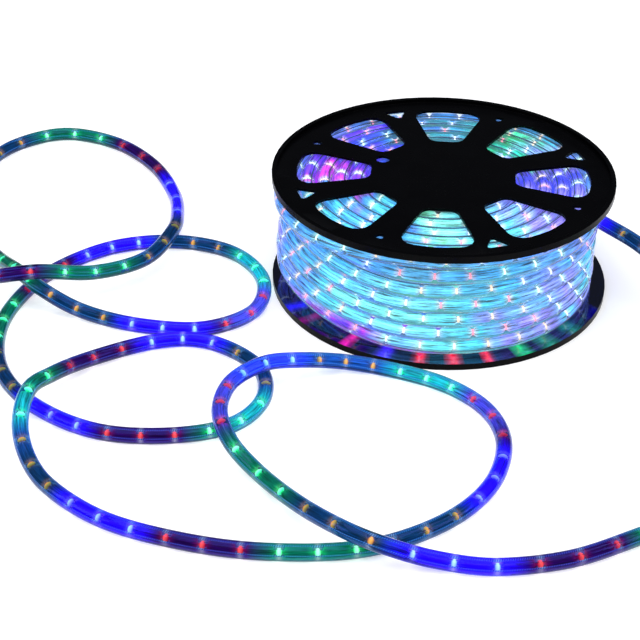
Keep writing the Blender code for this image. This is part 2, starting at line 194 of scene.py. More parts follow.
class NodeSheet:
    """A small helper that adds and joins the nodes of one material or geometry tree."""

    def __init__(self, tree: bpy.types.NodeTree) -> None:
        """Keep the tree that the nodes go into."""
        self.tree = tree

    def join(self, source: object, target: Socket) -> None:
        """Link an output to an input, or set the input where the source is a plain value or colour.

        Args:
            source: A socket, number, vector or colour.
            target: The input.
        """
        if isinstance(source, Socket):
            self.tree.links.new(source, target)
        else:
            target.default_value = (*source, 1.0) if target.type == "RGBA" else source

    def feed(self, node: Node, inputs: dict[str | int, object]) -> None:
        """Join sources to a node's inputs, given by name or number."""
        for key, source in inputs.items():
            self.join(source, node.inputs[key])

    def add(self, kind: str, inputs: dict[str | int, object] | None = None, **settings: object) -> Node:
        """Add a node.

        Args:
            kind: Blender's name for the node's type.
            inputs: Sockets and plain values for its inputs, by name or number.
            **settings: Properties to set on it first.

        Returns:
            The new node.
        """
        node = self.tree.nodes.new(kind)
        for name, value in settings.items():
            setattr(node, name, value)
        self.feed(node, inputs or {})
        return node

    def shape(self, kind: str, inputs: dict[str | int, object] | None = None, **settings: object) -> Socket:
        """Return the first output of a new geometry node, as `add` makes it."""
        return self.add("GeometryNode" + kind, inputs, **settings).outputs[0]

    def math(self, operation: str, *values: object, clamp: bool = False) -> Socket:
        """Return a new Math node's output over sockets or numbers, held to 0 to 1 if it is clamped."""
        inputs = dict(enumerate(values))
        return self.add("ShaderNodeMath", inputs, operation=operation, use_clamp=clamp).outputs[0]

    def vector_math(self, operation: str, *values: object) -> Socket:
        """Return the vector of a new Vector Math node over sockets or tuples."""
        inputs = dict(enumerate(values))
        return self.add("ShaderNodeVectorMath", inputs, operation=operation).outputs["Vector"]

    def scaled(self, vector: object, scale: object) -> Socket:
        """Return a vector or colour times a number."""
        inputs = {0: vector, "Scale": scale}
        return self.add("ShaderNodeVectorMath", inputs, operation="SCALE").outputs["Vector"]

    def vector(self, x: object = 0.0, y: object = 0.0, z: object = 0.0) -> Socket:
        """Return a vector of three sockets or numbers."""
        return self.add("ShaderNodeCombineXYZ", {0: x, 1: y, 2: z}).outputs[0]

    def split(self, vector: Socket) -> tuple[Socket, Socket, Socket]:
        """Return the three parts of a vector."""
        return tuple(self.add("ShaderNodeSeparateXYZ", {0: vector}).outputs)

    def mix(self, share: object, first: object, second: object) -> Socket:
        """Return the mix of two colours, with a share of the second."""
        return self.add("ShaderNodeMix", {0: share, 6: first, 7: second}, data_type="RGBA").outputs[2]

    def ramp(self, share: Socket, stops: Sequence[tuple[float, Colour]]) -> Socket:
        """Add a Color Ramp.

        Args:
            share: What drives the ramp.
            stops: Places from 0 to 1, each with its colour.

        Returns:
            The ramp's colour.
        """
        node = self.add("ShaderNodeValToRGB", {0: share})
        elements = node.color_ramp.elements
        while len(elements) > 1:
            elements.remove(elements[-1])
        elements[0].position, elements[0].color = stops[0][0], (*stops[0][1], 1.0)
        for place, colour in stops[1:]:
            elements.new(place).color = (*colour, 1.0)
        return node.outputs[0]

    def noise(self, vector: Socket, scale: float, detail: float = 2.0, roughness: float = 0.5) -> Socket:
        """Return a new Noise texture's value, from 0 to 1, over the given coordinates."""
        return self.add("ShaderNodeTexNoise", {
            "Vector": vector, "Scale": scale, "Detail": detail, "Roughness": roughness}).outputs[0]

    def attribute(self, name: str, output: str = "Fac") -> Socket:
        """Return an output of an Attribute node."""
        return self.add("ShaderNodeAttribute", attribute_name=name).outputs[output]

    def place(self) -> Socket:
        """Return the place on the piece, in metres."""
        return self.add("ShaderNodeTexCoord").outputs["Object"]


class Finish:
    """What every finish shares: a material with one Principled shader."""

    name: str

    def material(self) -> bpy.types.Material:
        """Return the finish's material, made the first time it is asked for.

        Returns:
            The material.
        """
        found = bpy.data.materials.get(self.name)
        if found:
            return found
        made = bpy.data.materials.new(self.name)
        made.use_nodes = True
        self.paint(NodeSheet(made.node_tree), made.node_tree.nodes["Principled BSDF"])
        return made

    def paint(self, sheet: NodeSheet, shader: Node) -> None:
        """Set the shader's sockets and add the pattern nodes.

        Args:
            sheet: The material's nodes.
            shader: Its Principled shader.
        """
        raise NotImplementedError


def bump(sheet: NodeSheet, shader: Node, height: Socket, strength: float, distance: float) -> None:
    """Feed a height pattern to a shader as bump.

    Args:
        sheet: The material's nodes.
        shader: The Principled shader.
        height: The pattern.
        strength: The bump's strength.
        distance: The height of the pattern's full range, in metres.
    """
    node = sheet.add("ShaderNodeBump", {"Strength": strength, "Distance": distance, "Height": height})
    sheet.feed(shader, {"Normal": node.outputs[0]})


def turned_share(sheet: NodeSheet, x: Socket, y: Socket) -> Socket:
    """Return the angle of a flat direction as a share of a full turn, from -0.5 to 0.5."""
    return sheet.math("DIVIDE", sheet.math("ARCTAN2", y, x), 2 * math.pi)


def reel_share(sheet: NodeSheet) -> Socket:
    """Return a place's angle round the reel's axis as a share of a full turn, from 0 to 1."""
    x, y, _ = sheet.split(sheet.place())
    return sheet.math("FRACT", sheet.math("ADD", turned_share(sheet, x, y), 1.0))


@dataclass(frozen=True)
class BlackPlastic(Finish):
    """Black moulded plastic with faint scuffs, dull enough to stay black under the studio's light."""

    name: str = "black_reel_plastic"
    colour: Colour = (0.0003, 0.0003, 0.0005)
    scuffed: Colour = (0.0012, 0.0012, 0.0018)
    roughness: tuple[float, float] = (0.20, 0.34)
    shine: float = 0.4
    refraction: float = 1.16
    reflection: Colour = WHITE
    grain_scale: float = 900.0
    grain_strength: float = 0.12
    grain_depth: float = 0.05 * MM
    scuff_scale: float = 38.0
    scuff_detail: float = 5.0
    scuff_roughness: float = 0.65

    def paint(self, sheet: NodeSheet, shader: Node) -> None:
        """Set the shader's sockets and add the scuffs and the moulding grain.

        Args:
            sheet: The material's nodes.
            shader: Its Principled shader.
        """
        place = sheet.place()
        scuff = sheet.noise(place, self.scuff_scale, self.scuff_detail, self.scuff_roughness)
        smooth, rough = self.roughness
        sheet.feed(shader, {
            "Base Color": sheet.mix(scuff, self.colour, self.scuffed),
            "Roughness": sheet.math("MULTIPLY_ADD", scuff, rough - smooth, smooth),
            "Specular IOR Level": self.shine, "IOR": self.refraction, "Specular Tint": self.reflection})
        grain = sheet.noise(place, self.grain_scale)
        bump(sheet, shader, grain, self.grain_strength, self.grain_depth)


# Painted reflections of the lowest turn's lamps in the polish, drawn as emission: place as a share of a
# turn, reach, colour
PAINTED_LAMP_REFLECTIONS = (
    (0.5710, 0.0090, srgb(25, 10, 220)),
    (0.5970, 0.0070, srgb(110, 10, 90)),
    (0.6515, 0.0065, srgb(225, 30, 160)),
    (0.6910, 0.0090, srgb(60, 20, 250)),
    (0.7245, 0.0065, srgb(240, 20, 60)),
    (0.7555, 0.0075, srgb(240, 20, 60)),
    (0.7875, 0.0060, srgb(240, 20, 60)),
    (0.8230, 0.0105, srgb(20, 190, 110)),
    (0.8530, 0.0135, srgb(15, 120, 85)),
    (0.8870, 0.0115, srgb(10, 100, 80)),
)


@dataclass(frozen=True)
class PolishedPlastic(BlackPlastic):
    """The same plastic where it is polished, so that the winding and its lamps show in it, with painted
    reflections of the lowest turn's lamps.
    """

    name: str = "polished_reel_plastic"
    colour: Colour = (0.0004, 0.0006, 0.0022)
    scuffed: Colour = (0.0012, 0.0016, 0.0060)
    roughness: tuple[float, float] = (0.03, 0.09)
    shine: float = 1.0
    refraction: float = 1.75
    reflection: Colour = (0.34, 0.40, 0.80)
    grain_scale: float = 260.0
    painted_reflection_strength: float = 1.3
    painted_reflection_grain: float = 160.0

    def paint(self, sheet: NodeSheet, shader: Node) -> None:
        """Set the plastic's sockets and add painted reflections of the lamps, as coloured emission.

        Args:
            sheet: The material's nodes.
            shader: Its Principled shader.
        """
        super().paint(sheet, shader)
        # Painted reflections: each lamp's colour in a narrow band round the reel, black between, glowing
        # through a fine noise
        stops = [(share + side * reach, BLACK if side else colour)
                 for share, reach, colour in PAINTED_LAMP_REFLECTIONS for side in (-1, 0, 1)]
        grain = sheet.noise(sheet.place(), self.painted_reflection_grain)
        sheet.feed(shader, {
            "Emission Color": sheet.ramp(reel_share(sheet), stops),
            "Emission Strength": sheet.math("MULTIPLY", grain, 2 * self.painted_reflection_strength)})


@dataclass(frozen=True)
class GlowBand:
    """Colours that the clear rope takes round one colour of lamp."""

    tint: Colour
    core: Colour
    halo: Colour
    pale: Colour


GLOW = {
    Lamp.RED: GlowBand((0.03, 0.008, 0.14), (0.045, 0.004, 0.10), (0.9, 0.01, 0.06), (0.12, 0.15, 0.75)),
    Lamp.BLUE: GlowBand((0.04, 0.01, 0.80), (0.03, 0.0, 0.75), (0.10, 0.14, 1.0), (0.05, 0.14, 0.88)),
    Lamp.ORANGE: GlowBand((0.01, 0.07, 0.19), (0.004, 0.045, 0.11), (0.40, 0.14, 0.05), (0.03, 0.15, 0.52)),
    Lamp.GREEN: GlowBand((0.01, 0.20, 0.15), (0.0, 0.14, 0.09), (0.04, 0.95, 0.22), (0.03, 0.48, 0.60)),
}

# Colours that the lit winding takes
CYAN = srgb(72, 203, 228)
AQUA = srgb(125, 232, 236)
AZURE = srgb(70, 145, 240)
LILAC = srgb(150, 130, 245)
INDIGO = srgb(50, 55, 245)
VIOLET = srgb(110, 35, 250)
MAGENTA = srgb(220, 50, 225)
TEAL = srgb(12, 140, 150)
MINT = srgb(30, 215, 130)
PALE_MINT = srgb(120, 235, 185)


def run_stops(pick: Callable[[GlowBand], Colour], hold: float) -> list[tuple[float, Colour]]:
    """Return the ramp stops of one run of twelve lamps, which starts half a pitch before the first.

    Args:
        pick: Which of a band's colours the ramp shows.
        hold: Half the share of the run over which a lamp colour's own band holds.

    Returns:
        Places and colours: each lamp colour holds round its three lamps and fades to the next.
    """
    order = list(Lamp)
    first, last = pick(GLOW[order[0]]), pick(GLOW[order[-1]])
    between = tuple((a + b) / 2 for a, b in zip(first, last))
    stops = [(0.0, between)]
    for i, lamp in enumerate(order):
        middle = (i + 0.5) / len(order)
        stops += [(middle - hold, pick(GLOW[lamp])), (middle + hold, pick(GLOW[lamp]))]
    return [*stops, (1.0, between)]


def run_share(sheet: NodeSheet) -> Socket:
    """Return how far along a run of twelve lamps a place of the rope is, from 0 to 1."""
    count = sheet.math("ADD", sheet.attribute("lamp"), 0.5)
    return sheet.math("FRACT", sheet.math("DIVIDE", count, float(LAMPS_PER_RUN)))


def lamp_nearness(sheet: NodeSheet, reach: float) -> Socket:
    """Return 1 at a lamp, falling to 0 at a distance from it.

    Args:
        sheet: The material's nodes.
        reach: That distance, as a share of the lamps' pitch.

    Returns:
        The nearness.
    """
    lamp = sheet.math("FRACT", sheet.math("ADD", sheet.attribute("lamp"), 0.5))
    away = sheet.math("ABSOLUTE", sheet.math("SUBTRACT", lamp, 0.5))
    return sheet.math("SUBTRACT", 1.0, sheet.math("DIVIDE", away, reach), clamp=True)


# Half the share of a run over which a band's tint and core hold
BAND_HOLD = 0.098

# Glow of the winding by angle round the reel, outside the windows and in them
OUTSIDE_GLOW = (
    (0.0, LILAC), (0.12, CYAN), (0.3, AZURE), (0.46, LILAC), (0.54, AZURE), (0.62, CYAN), (0.7, AQUA),
    (0.8, CYAN), (0.87, LILAC), (0.94, CYAN), (1.0, LILAC))
WINDOW_GLOW = (
    (0.0, INDIGO), (0.06, LILAC), (0.12, MINT), (0.2, TEAL), (0.28, TEAL), (0.36, INDIGO), (0.44, VIOLET),
    (0.49, MAGENTA), (0.53, AZURE), (0.58, CYAN), (0.66, AZURE), (0.71, PALE_MINT), (0.77, AQUA),
    (0.83, CYAN), (0.9, LILAC), (1.0, INDIGO))
# Shares of a turn over which the lowest turn is violet, and its two violets over a noise
VIOLET_REACH = ((0.50, BLACK), (0.56, WHITE), (0.67, WHITE), (0.73, BLACK))
VIOLET_MOTTLE = ((0.40, VIOLET), (0.62, MAGENTA))


def band_colour(sheet: NodeSheet, pick: Callable[[GlowBand], Colour], hold: float = BAND_HOLD) -> Socket:
    """Return one of the glow bands' colours along the rope, as `run_stops` lays them out."""
    return sheet.ramp(run_share(sheet), run_stops(pick, hold))


def rope_line(sheet: NodeSheet, stretch: float) -> Socket:
    """Return coordinates that run round and along the rope.

    Args:
        sheet: The material's nodes.
        stretch: How many units of pattern a metre of rope takes.

    Returns:
        The place on the rope's rim in X and Y, and the length along it in Z.
    """
    x, y, _ = sheet.split(sheet.attribute("rim", "Vector"))
    return sheet.vector(x, y, sheet.math("MULTIPLY", sheet.attribute("along"), stretch))


@dataclass(frozen=True)
class ClearJacket(Finish):
    """Clear soft jacket, tinted by the light that travels in it and paler right at a lamp."""

    name: str = "clear_jacket"
    refraction: float = 1.42
    roughness: float = 0.02
    glow: float = 0.16
    lamp_reach: float = 0.13
    lamp_paleness: float = 0.2
    lamp_fall: float = 1.5
    edge_dark: float = 0.9
    edge_blend: float = 0.40
    edge_colour: Colour = (0.0, 0.01, 0.10)
    reflection: Colour = srgb(70, 90, 220)
    streak_stretch: float = 9.0
    streak_scale: float = 5.0
    streak_strength: float = 0.35
    streak_depth: float = 0.22 * MM

    def tint(self, sheet: NodeSheet) -> Socket:
        """Return the colour that the jacket gives to what is seen through it.

        Args:
            sheet: The material's nodes.

        Returns:
            The colour.
        """
        own = band_colour(sheet, lambda band: band.tint)
        own = sheet.mix(sheet.attribute("pale"), own, band_colour(sheet, lambda band: band.pale))
        near = sheet.math("POWER", lamp_nearness(sheet, self.lamp_reach), self.lamp_fall)
        return sheet.mix(sheet.math("MULTIPLY", near, self.lamp_paleness), own, WHITE)

    def paint(self, sheet: NodeSheet, shader: Node) -> None:
        """Set the shader's sockets, the tint along the rope and the extrusion lines.

        Args:
            sheet: The material's nodes.
            shader: Its Principled shader.
        """
        tint = self.tint(sheet)
        facing = sheet.add("ShaderNodeLayerWeight", {"Blend": self.edge_blend}).outputs["Facing"]
        sheet.feed(shader, {
            "Base Color": sheet.mix(sheet.math("MULTIPLY", facing, self.edge_dark), tint, self.edge_colour),
            "Emission Color": tint, "Emission Strength": self.glow, "Transmission Weight": 1.0,
            "IOR": self.refraction, "Specular Tint": self.reflection, "Roughness": self.roughness})
        streak = sheet.noise(rope_line(sheet, self.streak_stretch), self.streak_scale, 3.0)
        bump(sheet, shader, streak, self.streak_strength, self.streak_depth)


@dataclass(frozen=True)
class WoundJacket(ClearJacket):
    """The jacket as it shows in the winding, washed pale by the light of its neighbours."""

    name: str = "wound_clear_jacket"
    wash: Colour = (0.78, 0.95, 1.0)
    wash_share: float = 0.86
    glow: float = 0.04
    edge_dark: float = 0.5
    edge_blend: float = 0.2
    reflection: Colour = srgb(130, 190, 240)

    def tint(self, sheet: NodeSheet) -> Socket:
        """Return a pale tint with a trace of the lamps' own bands."""
        share = sheet.math("MULTIPLY", sheet.attribute("pale"), self.wash_share)
        return sheet.mix(share, band_colour(sheet, lambda band: band.tint), self.wash)


@dataclass(frozen=True)
class LitCore(Finish):
    """The lamp string's milky core, lit in the colour of the lamps along it."""

    name: str = "lit_core"
    roughness: float = 0.35
    strength: float = 0.9
    streak_scale: float = 3.2
    streak_stretch: float = 14.0
    streak_range: tuple[float, float] = (0.36, 0.64)
    dark: float = 0.12
    bright: float = 1.7
    halo_reach: float = 0.32
    halo_weight: float = 0.9
    halo_whiteness: float = 0.0
    halo_hold: float = 0.12
    halo_fall: float = 1.8

    def own_glow(self, sheet: NodeSheet) -> Socket:
        """Return the lamps' own bands along the rope, each in its pale form where it is pale."""
        own, pale = (band_colour(sheet, pick) for pick in (lambda band: band.core, lambda band: band.pale))
        return sheet.mix(sheet.attribute("pale"), own, pale)

    def body_colour(self, sheet: NodeSheet) -> Socket:
        """Return the glow with a brighter halo at each lamp.

        Args:
            sheet: The material's nodes.

        Returns:
            The colour.
        """
        halo = band_colour(sheet, lambda band: band.halo, self.halo_hold)
        halo = sheet.mix(self.halo_whiteness, halo, WHITE)
        near = sheet.math("POWER", lamp_nearness(sheet, self.halo_reach), self.halo_fall)
        return sheet.mix(sheet.math("MULTIPLY", near, self.halo_weight), self.own_glow(sheet), halo)

    def paint(self, sheet: NodeSheet, shader: Node) -> None:
        """Set the shader's sockets and draw the streaks that run along the core.

        Args:
            sheet: The material's nodes.
            shader: Its Principled shader.
        """
        streak = sheet.noise(rope_line(sheet, self.streak_stretch), self.streak_scale, 4.0, 0.7)
        low, high = self.streak_range
        level = sheet.add("ShaderNodeMapRange", {
            "Value": streak, "From Min": low, "From Max": high, "To Min": self.dark, "To Max": self.bright})
        colour = sheet.scaled(self.body_colour(sheet), level.outputs[0])
        sheet.feed(shader, {
            "Emission Color": colour, "Base Color": colour, "Emission Strength": self.strength,
            "Roughness": self.roughness})


@dataclass(frozen=True)
class WoundCore(LitCore):
    """The core as it shows in the winding, washed pale by the light of its neighbours."""

    name: str = "wound_core"
    strength: float = 0.76
    streak_scale: float = 2.3
    streak_stretch: float = 18.0
    dark: float = 0.08
    bright: float = 1.55
    halo_reach: float = 0.22
    halo_weight: float = 0.85
    halo_whiteness: float = 0.62
    wash: float = 0.93
    window_edge: tuple[float, float] = (0.120, 0.131)
    low_turns: tuple[float, float] = (0.019, 0.027)
    high_turns: tuple[float, float] = (0.040, 0.088)
    high_share: float = 0.62
    spot_scale: float = 22.0
    spot_shift: float = 0.16
    turn_scale: float = 7.0
    turn_shift: float = 0.5
    violet_scale: float = 60.0

    def own_glow(self, sheet: NodeSheet) -> Socket:
        """Return the pale glow, with the lamps' own bands faint in it."""
        share = sheet.math("MULTIPLY", sheet.attribute("pale"), self.wash)
        return sheet.mix(share, band_colour(sheet, lambda band: band.core), self.washed(sheet))

    def step(self, sheet: NodeSheet, value: Socket, reach: tuple[float, float]) -> Socket:
        """Return 0 below a reach of values and 1 above it, with a soft step between."""
        inputs = {"Value": value, "From Min": reach[0], "From Max": reach[1]}
        return sheet.add("ShaderNodeMapRange", inputs, interpolation_type="SMOOTHSTEP").outputs[0]

    def shifted(self, sheet: NodeSheet, vector: Socket, scale: float, shift: float) -> Socket:
        """Return a noise round 0 that shifts the colours by up to half of a share of a turn."""
        noise = sheet.noise(vector, scale, 3.0)
        return sheet.math("MULTIPLY", sheet.math("SUBTRACT", noise, 0.5), shift)

    def washed(self, sheet: NodeSheet) -> Socket:
        """Return the glow by its place.

        Args:
            sheet: The material's nodes.

        Returns:
            Strong colours in the windows and pale ones outside, bluer high up, with a violet turn low
            at the left.
        """
        place = sheet.place()
        x, y, height = sheet.split(place)
        flat = sheet.vector(x, y)
        radius = sheet.add("ShaderNodeVectorMath", {0: flat}, operation="LENGTH").outputs["Value"]
        spots = self.shifted(sheet, place, self.spot_scale, self.spot_shift)
        along = sheet.vector(z=sheet.attribute("along"))
        turns = self.shifted(sheet, along, self.turn_scale, self.turn_shift)
        mottle = sheet.math("ADD", spots, turns)
        share = sheet.math("FRACT", sheet.math("ADD", reel_share(sheet), mottle))
        high = sheet.math("MULTIPLY", self.step(sheet, height, self.high_turns), self.high_share)
        outside = sheet.mix(high, sheet.ramp(share, OUTSIDE_GLOW), AZURE)
        beyond = self.step(sheet, radius, self.window_edge)
        glow = sheet.mix(beyond, sheet.ramp(share, WINDOW_GLOW), outside)
        low = sheet.math("SUBTRACT", 1.0, self.step(sheet, height, self.low_turns))
        violet = sheet.ramp(sheet.noise(place, self.violet_scale), VIOLET_MOTTLE)
        return sheet.mix(sheet.math("MULTIPLY", low, sheet.ramp(share, VIOLET_REACH)), glow, violet)


@dataclass(frozen=True)
class HiddenTurns(WoundCore):
    """The hidden turns between those that can be seen, glowing more dimly as painted shade of the depth
    between turns, without a violet turn of its own.
    """

    name: str = "hidden_turns_painted_shade"
    # Lower glow than the visible turns: painted shade
    strength: float = 0.42
    low_turns: tuple[float, float] = (-0.002, -0.001)

    def body_colour(self, sheet: NodeSheet) -> Socket:
        """Return the glow of the winding's place alone, since no lamp lies here."""
        return self.washed(sheet)


@dataclass(frozen=True)
class LampGlass(Finish):
    """A lit lamp: its own colour at the bead's two ends and nearly white in the middle."""

    name: str
    edge: Colour
    heart: Colour
    strength: float
    roughness: float = 0.15

    def paint(self, sheet: NodeSheet, shader: Node) -> None:
        """Set the shader's sockets and fade the light from the bead's middle to its ends.

        Args:
            sheet: The material's nodes.
            shader: Its Principled shader.
        """
        away = sheet.math("ABSOLUTE", sheet.split(sheet.attribute("bead", "Vector"))[2], clamp=True)
        colour = sheet.ramp(away, ((0.0, self.heart), (0.45, self.heart), (0.95, self.edge)))
        sheet.feed(shader, {
            "Emission Color": colour, "Base Color": colour, "Emission Strength": self.strength,
            "Roughness": self.roughness})


LAMP_GLASS = {
    Lamp.RED: LampGlass("red_lamp", (0.85, 0.0, 0.01), (1.0, 0.07, 0.05), 1.5),
    Lamp.BLUE: LampGlass("blue_lamp", (0.06, 0.28, 1.0), (0.42, 0.86, 1.0), 1.5),
    Lamp.ORANGE: LampGlass("orange_lamp", (0.65, 0.10, 0.01), (1.0, 0.40, 0.04), 1.5),
    Lamp.GREEN: LampGlass("green_lamp", (0.02, 1.0, 0.22), (0.42, 1.0, 0.62), 1.9),
}
WOUND_LAMP_GLASS = {
    Lamp.RED: LampGlass("wound_red_lamp", (1.0, 0.05, 0.20), (1.0, 0.28, 0.38), 1.05),
    Lamp.BLUE: LampGlass("wound_blue_lamp", (0.55, 0.75, 1.0), (0.92, 0.98, 1.0), 1.15),
    Lamp.ORANGE: LampGlass("wound_orange_lamp", (1.0, 0.35, 0.22), (1.0, 0.66, 0.45), 0.95),
    Lamp.GREEN: LampGlass("wound_green_lamp", (0.45, 0.95, 0.85), (0.85, 1.0, 0.95), 1.15),
}


@dataclass(frozen=True)
class StrandedWire(Finish):
    """Tinned stranded wire, whose lay shows as a row of bright dots: painted highlights on the strands, in
    painted blue light, with a painted glow.
    """

    name: str = "stranded_wire_painted_light"
    lay: float = 1.7 * MM
    lay_strength: float = 0.8
    lay_depth: float = 0.2 * MM
    # Painted light: the wire glows, though it is no lamp
    glow: float = 0.5
    metal: float = 0.6
    roughness: float = 0.3
    # Painted light and highlight: dark blue between the strands, pale blue on each strand's crest
    low: Colour = srgb(24, 40, 150)
    high: Colour = srgb(150, 215, 255)

    def paint(self, sheet: NodeSheet, shader: Node) -> None:
        """Set the shader's sockets and wind the strands round the wire, with a painted highlight and a
        painted glow on each strand.

        Args:
            sheet: The material's nodes.
            shader: Its Principled shader.
        """
        x, y, _ = sheet.split(sheet.attribute("rim", "Vector"))
        lays = sheet.math("DIVIDE", sheet.attribute("along"), self.lay)
        wave = sheet.math("PINGPONG", sheet.math("ADD", lays, turned_share(sheet, x, y)), 0.5)
        strand = sheet.math("MULTIPLY", wave, 2.0, clamp=True)
        # Painted highlight on each strand, also fed to the glow; the bump below is the real lay
        colour = sheet.mix(strand, self.low, self.high)
        sheet.feed(shader, {
            "Base Color": colour, "Emission Color": colour, "Emission Strength": self.glow,
            "Metallic": self.metal, "Roughness": self.roughness})
        bump(sheet, shader, strand, self.lay_strength, self.lay_depth)


@dataclass(frozen=True)
class WoundWire(StrandedWire):
    """The same wire in the winding, painted dark blue as shade with a faint painted glow, where it shows as
    fine dark lines.
    """

    name: str = "wound_wire"
    # Painted shade: darker blues and less painted glow than the loose wire's
    glow: float = 0.08
    metal: float = 0.0
    low: Colour = srgb(2, 18, 60)
    high: Colour = srgb(20, 70, 120)


@dataclass(frozen=True)
class LeadWire(Finish):
    """A lamp's thin bare legs."""

    name: str = "lamp_leg_wire"
    colour: Colour = (0.05, 0.05, 0.07)
    tarnished: Colour = srgb(90, 90, 110)
    tarnish_scale: float = 700.0
    metal: float = 0.8
    roughness: float = 0.35

    def paint(self, sheet: NodeSheet, shader: Node) -> None:
        """Set the shader's sockets, with a little tarnish."""
        tarnish = sheet.noise(sheet.place(), self.tarnish_scale)
        sheet.feed(shader, {
            "Base Color": sheet.mix(tarnish, self.colour, self.tarnished),
            "Metallic": self.metal, "Roughness": self.roughness})


@dataclass(frozen=True)
class CapPlastic(Finish):
    """Milky clear moulded cap."""

    name: str = "end_cap_plastic"
    clouds: tuple[Colour, Colour] = (srgb(190, 205, 235), srgb(225, 235, 250))
    cloud_scale: float = 160.0
    clearness: float = 0.35
    refraction: float = 1.45
    roughness: float = 0.22
    grain_scale: float = 1200.0
    grain_strength: float = 0.2
    grain_depth: float = 0.05 * MM

    def paint(self, sheet: NodeSheet, shader: Node) -> None:
        """Set the shader's sockets, with faint clouding.

        Args:
            sheet: The material's nodes.
            shader: Its Principled shader.
        """
        place = sheet.place()
        sheet.feed(shader, {
            "Base Color": sheet.mix(sheet.noise(place, self.cloud_scale, 3.0), *self.clouds),
            "Transmission Weight": self.clearness, "IOR": self.refraction, "Roughness": self.roughness})
        bump(sheet, shader, sheet.noise(place, self.grain_scale), self.grain_strength, self.grain_depth)


@dataclass(frozen=True)
class PaleFloor(Finish):
    """Plain pale floor."""

    name: str = "pale_floor"
    colour: Colour = (0.90, 0.90, 0.905)
    glow: float = 0.35
    roughness: float = 0.7
    shine: float = 0.2

    def paint(self, sheet: NodeSheet, shader: Node) -> None:
        """Set the shader's sockets."""
        sheet.feed(shader, {
            "Base Color": self.colour, "Emission Color": self.colour, "Emission Strength": self.glow,
            "Roughness": self.roughness, "Specular IOR Level": self.shine})


def in_scene(name: str, data: bpy.types.ID) -> Piece:
    """Add an object to the scene.

    Args:
        name: Its name.
        data: The mesh, camera or light that it carries.

    Returns:
        The object.
    """
    made = bpy.data.objects.new(name, data)
    bpy.context.scene.collection.objects.link(made)
    return made


class Tree:
    """A Geometry Nodes tree with named inputs, run once over an object and turned into a plain mesh."""

    def __init__(self, name: str, inputs: dict[str, str]) -> None:
        """Start a tree.

        Args:
            name: The tree's name.
            inputs: The names of its inputs, each with its socket type.
        """
        self.group = bpy.data.node_groups.new(name, "GeometryNodeTree")
        face = self.group.interface
        for label, kind in {"Geometry": "Geometry", **inputs}.items():
            face.new_socket(label, in_out="INPUT", socket_type="NodeSocket" + kind)
        face.new_socket("Geometry", in_out="OUTPUT", socket_type="NodeSocketGeometry")
        self.sheet = NodeSheet(self.group)
        self.source = self.sheet.add("NodeGroupInput")
        self.result = self.sheet.add("NodeGroupOutput")

    def read(self, label: str) -> Socket:
        """Return one of the tree's inputs."""
        return self.source.outputs[label]

    def named(self, name: str, kind: str) -> Socket:
        """Return a named attribute of the given data type."""
        node = self.sheet.add("GeometryNodeInputNamedAttribute", {"Name": name}, data_type=kind)
        return next(socket for socket in node.outputs if socket.enabled)

    def aim(self) -> Socket:
        """Return the rotation that turns Z along the rope at a lamp."""
        inputs = {"Vector": self.named("aim", "FLOAT_VECTOR")}
        return self.sheet.add("FunctionNodeAlignRotationToVector", inputs, axis="Z").outputs[0]

    def stored(self, geometry: Socket, name: str, kind: str, value: Socket) -> Socket:
        """Store a point attribute.

        Args:
            geometry: What it is stored on.
            name: The attribute's name.
            kind: Its data type.
            value: Its value.

        Returns:
            The geometry that holds it.
        """
        node = self.sheet.add("GeometryNodeStoreNamedAttribute", {"Geometry": geometry, "Name": name},
                              data_type=kind, domain="POINT")
        self.sheet.join(value, next(s for s in node.inputs if s.name == "Value" and s.enabled))
        return node.outputs[0]

    def end(self, geometry: Socket, material: Socket | None) -> None:
        """Close the tree with real faces in one material, or as they are where there is none.

        Args:
            geometry: What the tree has made.
            material: The material, or none.
        """
        last = self.sheet.shape("RealizeInstances", {0: geometry})
        if material is not None:
            last = self.sheet.shape("SetMaterial", {"Geometry": last, "Material": material})
        self.sheet.join(last, self.result.inputs[0])

    def run(self, name: str, mesh: Mesh, values: dict[str, object]) -> Piece:
        """Run the tree over a mesh.

        Args:
            name: The new piece's name.
            mesh: What the tree starts from.
            values: The tree's inputs by name.

        Returns:
            A new object with a plain mesh.
        """
        seed = in_scene(name + "_seed", mesh)
        modifier = seed.modifiers.new("shape", "NODES")
        modifier.node_group = self.group
        for item in self.group.interface.items_tree:
            if item.in_out == "INPUT" and item.name in values:
                modifier[item.identifier] = values[item.name]
        graph = bpy.context.evaluated_depsgraph_get()
        graph.update()
        made = bpy.data.meshes.new_from_object(seed.evaluated_get(graph), preserve_all_data_layers=True,
                                               depsgraph=graph)
        made.name = name
        bpy.data.objects.remove(seed)
        bpy.data.meshes.remove(mesh)
        return in_scene(name, made)


def tube_tree() -> Tree:
    """Return the tree that draws a tube along each strand of a mesh of edges.

    Returns:
        The tree.
    """
    tree = Tree("tube_along_strand", {"Radius": "Float", "Sides": "Int", "Offset": "Float", "Rise": "Float",
                                      "Capped": "Bool", "Material": "Material"})
    sheet, read = tree.sheet, tree.read
    line = sheet.shape("MeshToCurve", {0: read("Geometry")})
    level = sheet.shape("SetCurveNormal", {"Curve": line}, mode="Z_UP")
    sideways = sheet.scaled(sheet.shape("InputNormal"), read("Offset"))
    upwards = sheet.scaled((0.0, 0.0, 1.0), read("Rise"))
    aside = sheet.shape("SetPosition", {
        "Geometry": level, "Offset": sheet.vector_math("ADD", sideways, upwards)})
    ring = sheet.shape("CurvePrimitiveCircle", {"Resolution": read("Sides"), "Radius": read("Radius")},
                       mode="RADIUS")
    rim = sheet.vector_math("NORMALIZE", sheet.shape("InputPosition"))
    tube = sheet.shape("CurveToMesh", {
        "Curve": aside, "Profile Curve": tree.stored(ring, "rim", "FLOAT_VECTOR", rim),
        "Scale": tree.named("girth", "FLOAT"), "Fill Caps": read("Capped")})
    tree.end(sheet.shape("SetShadeSmooth", {"Geometry": tube}), read("Material"))
    return tree


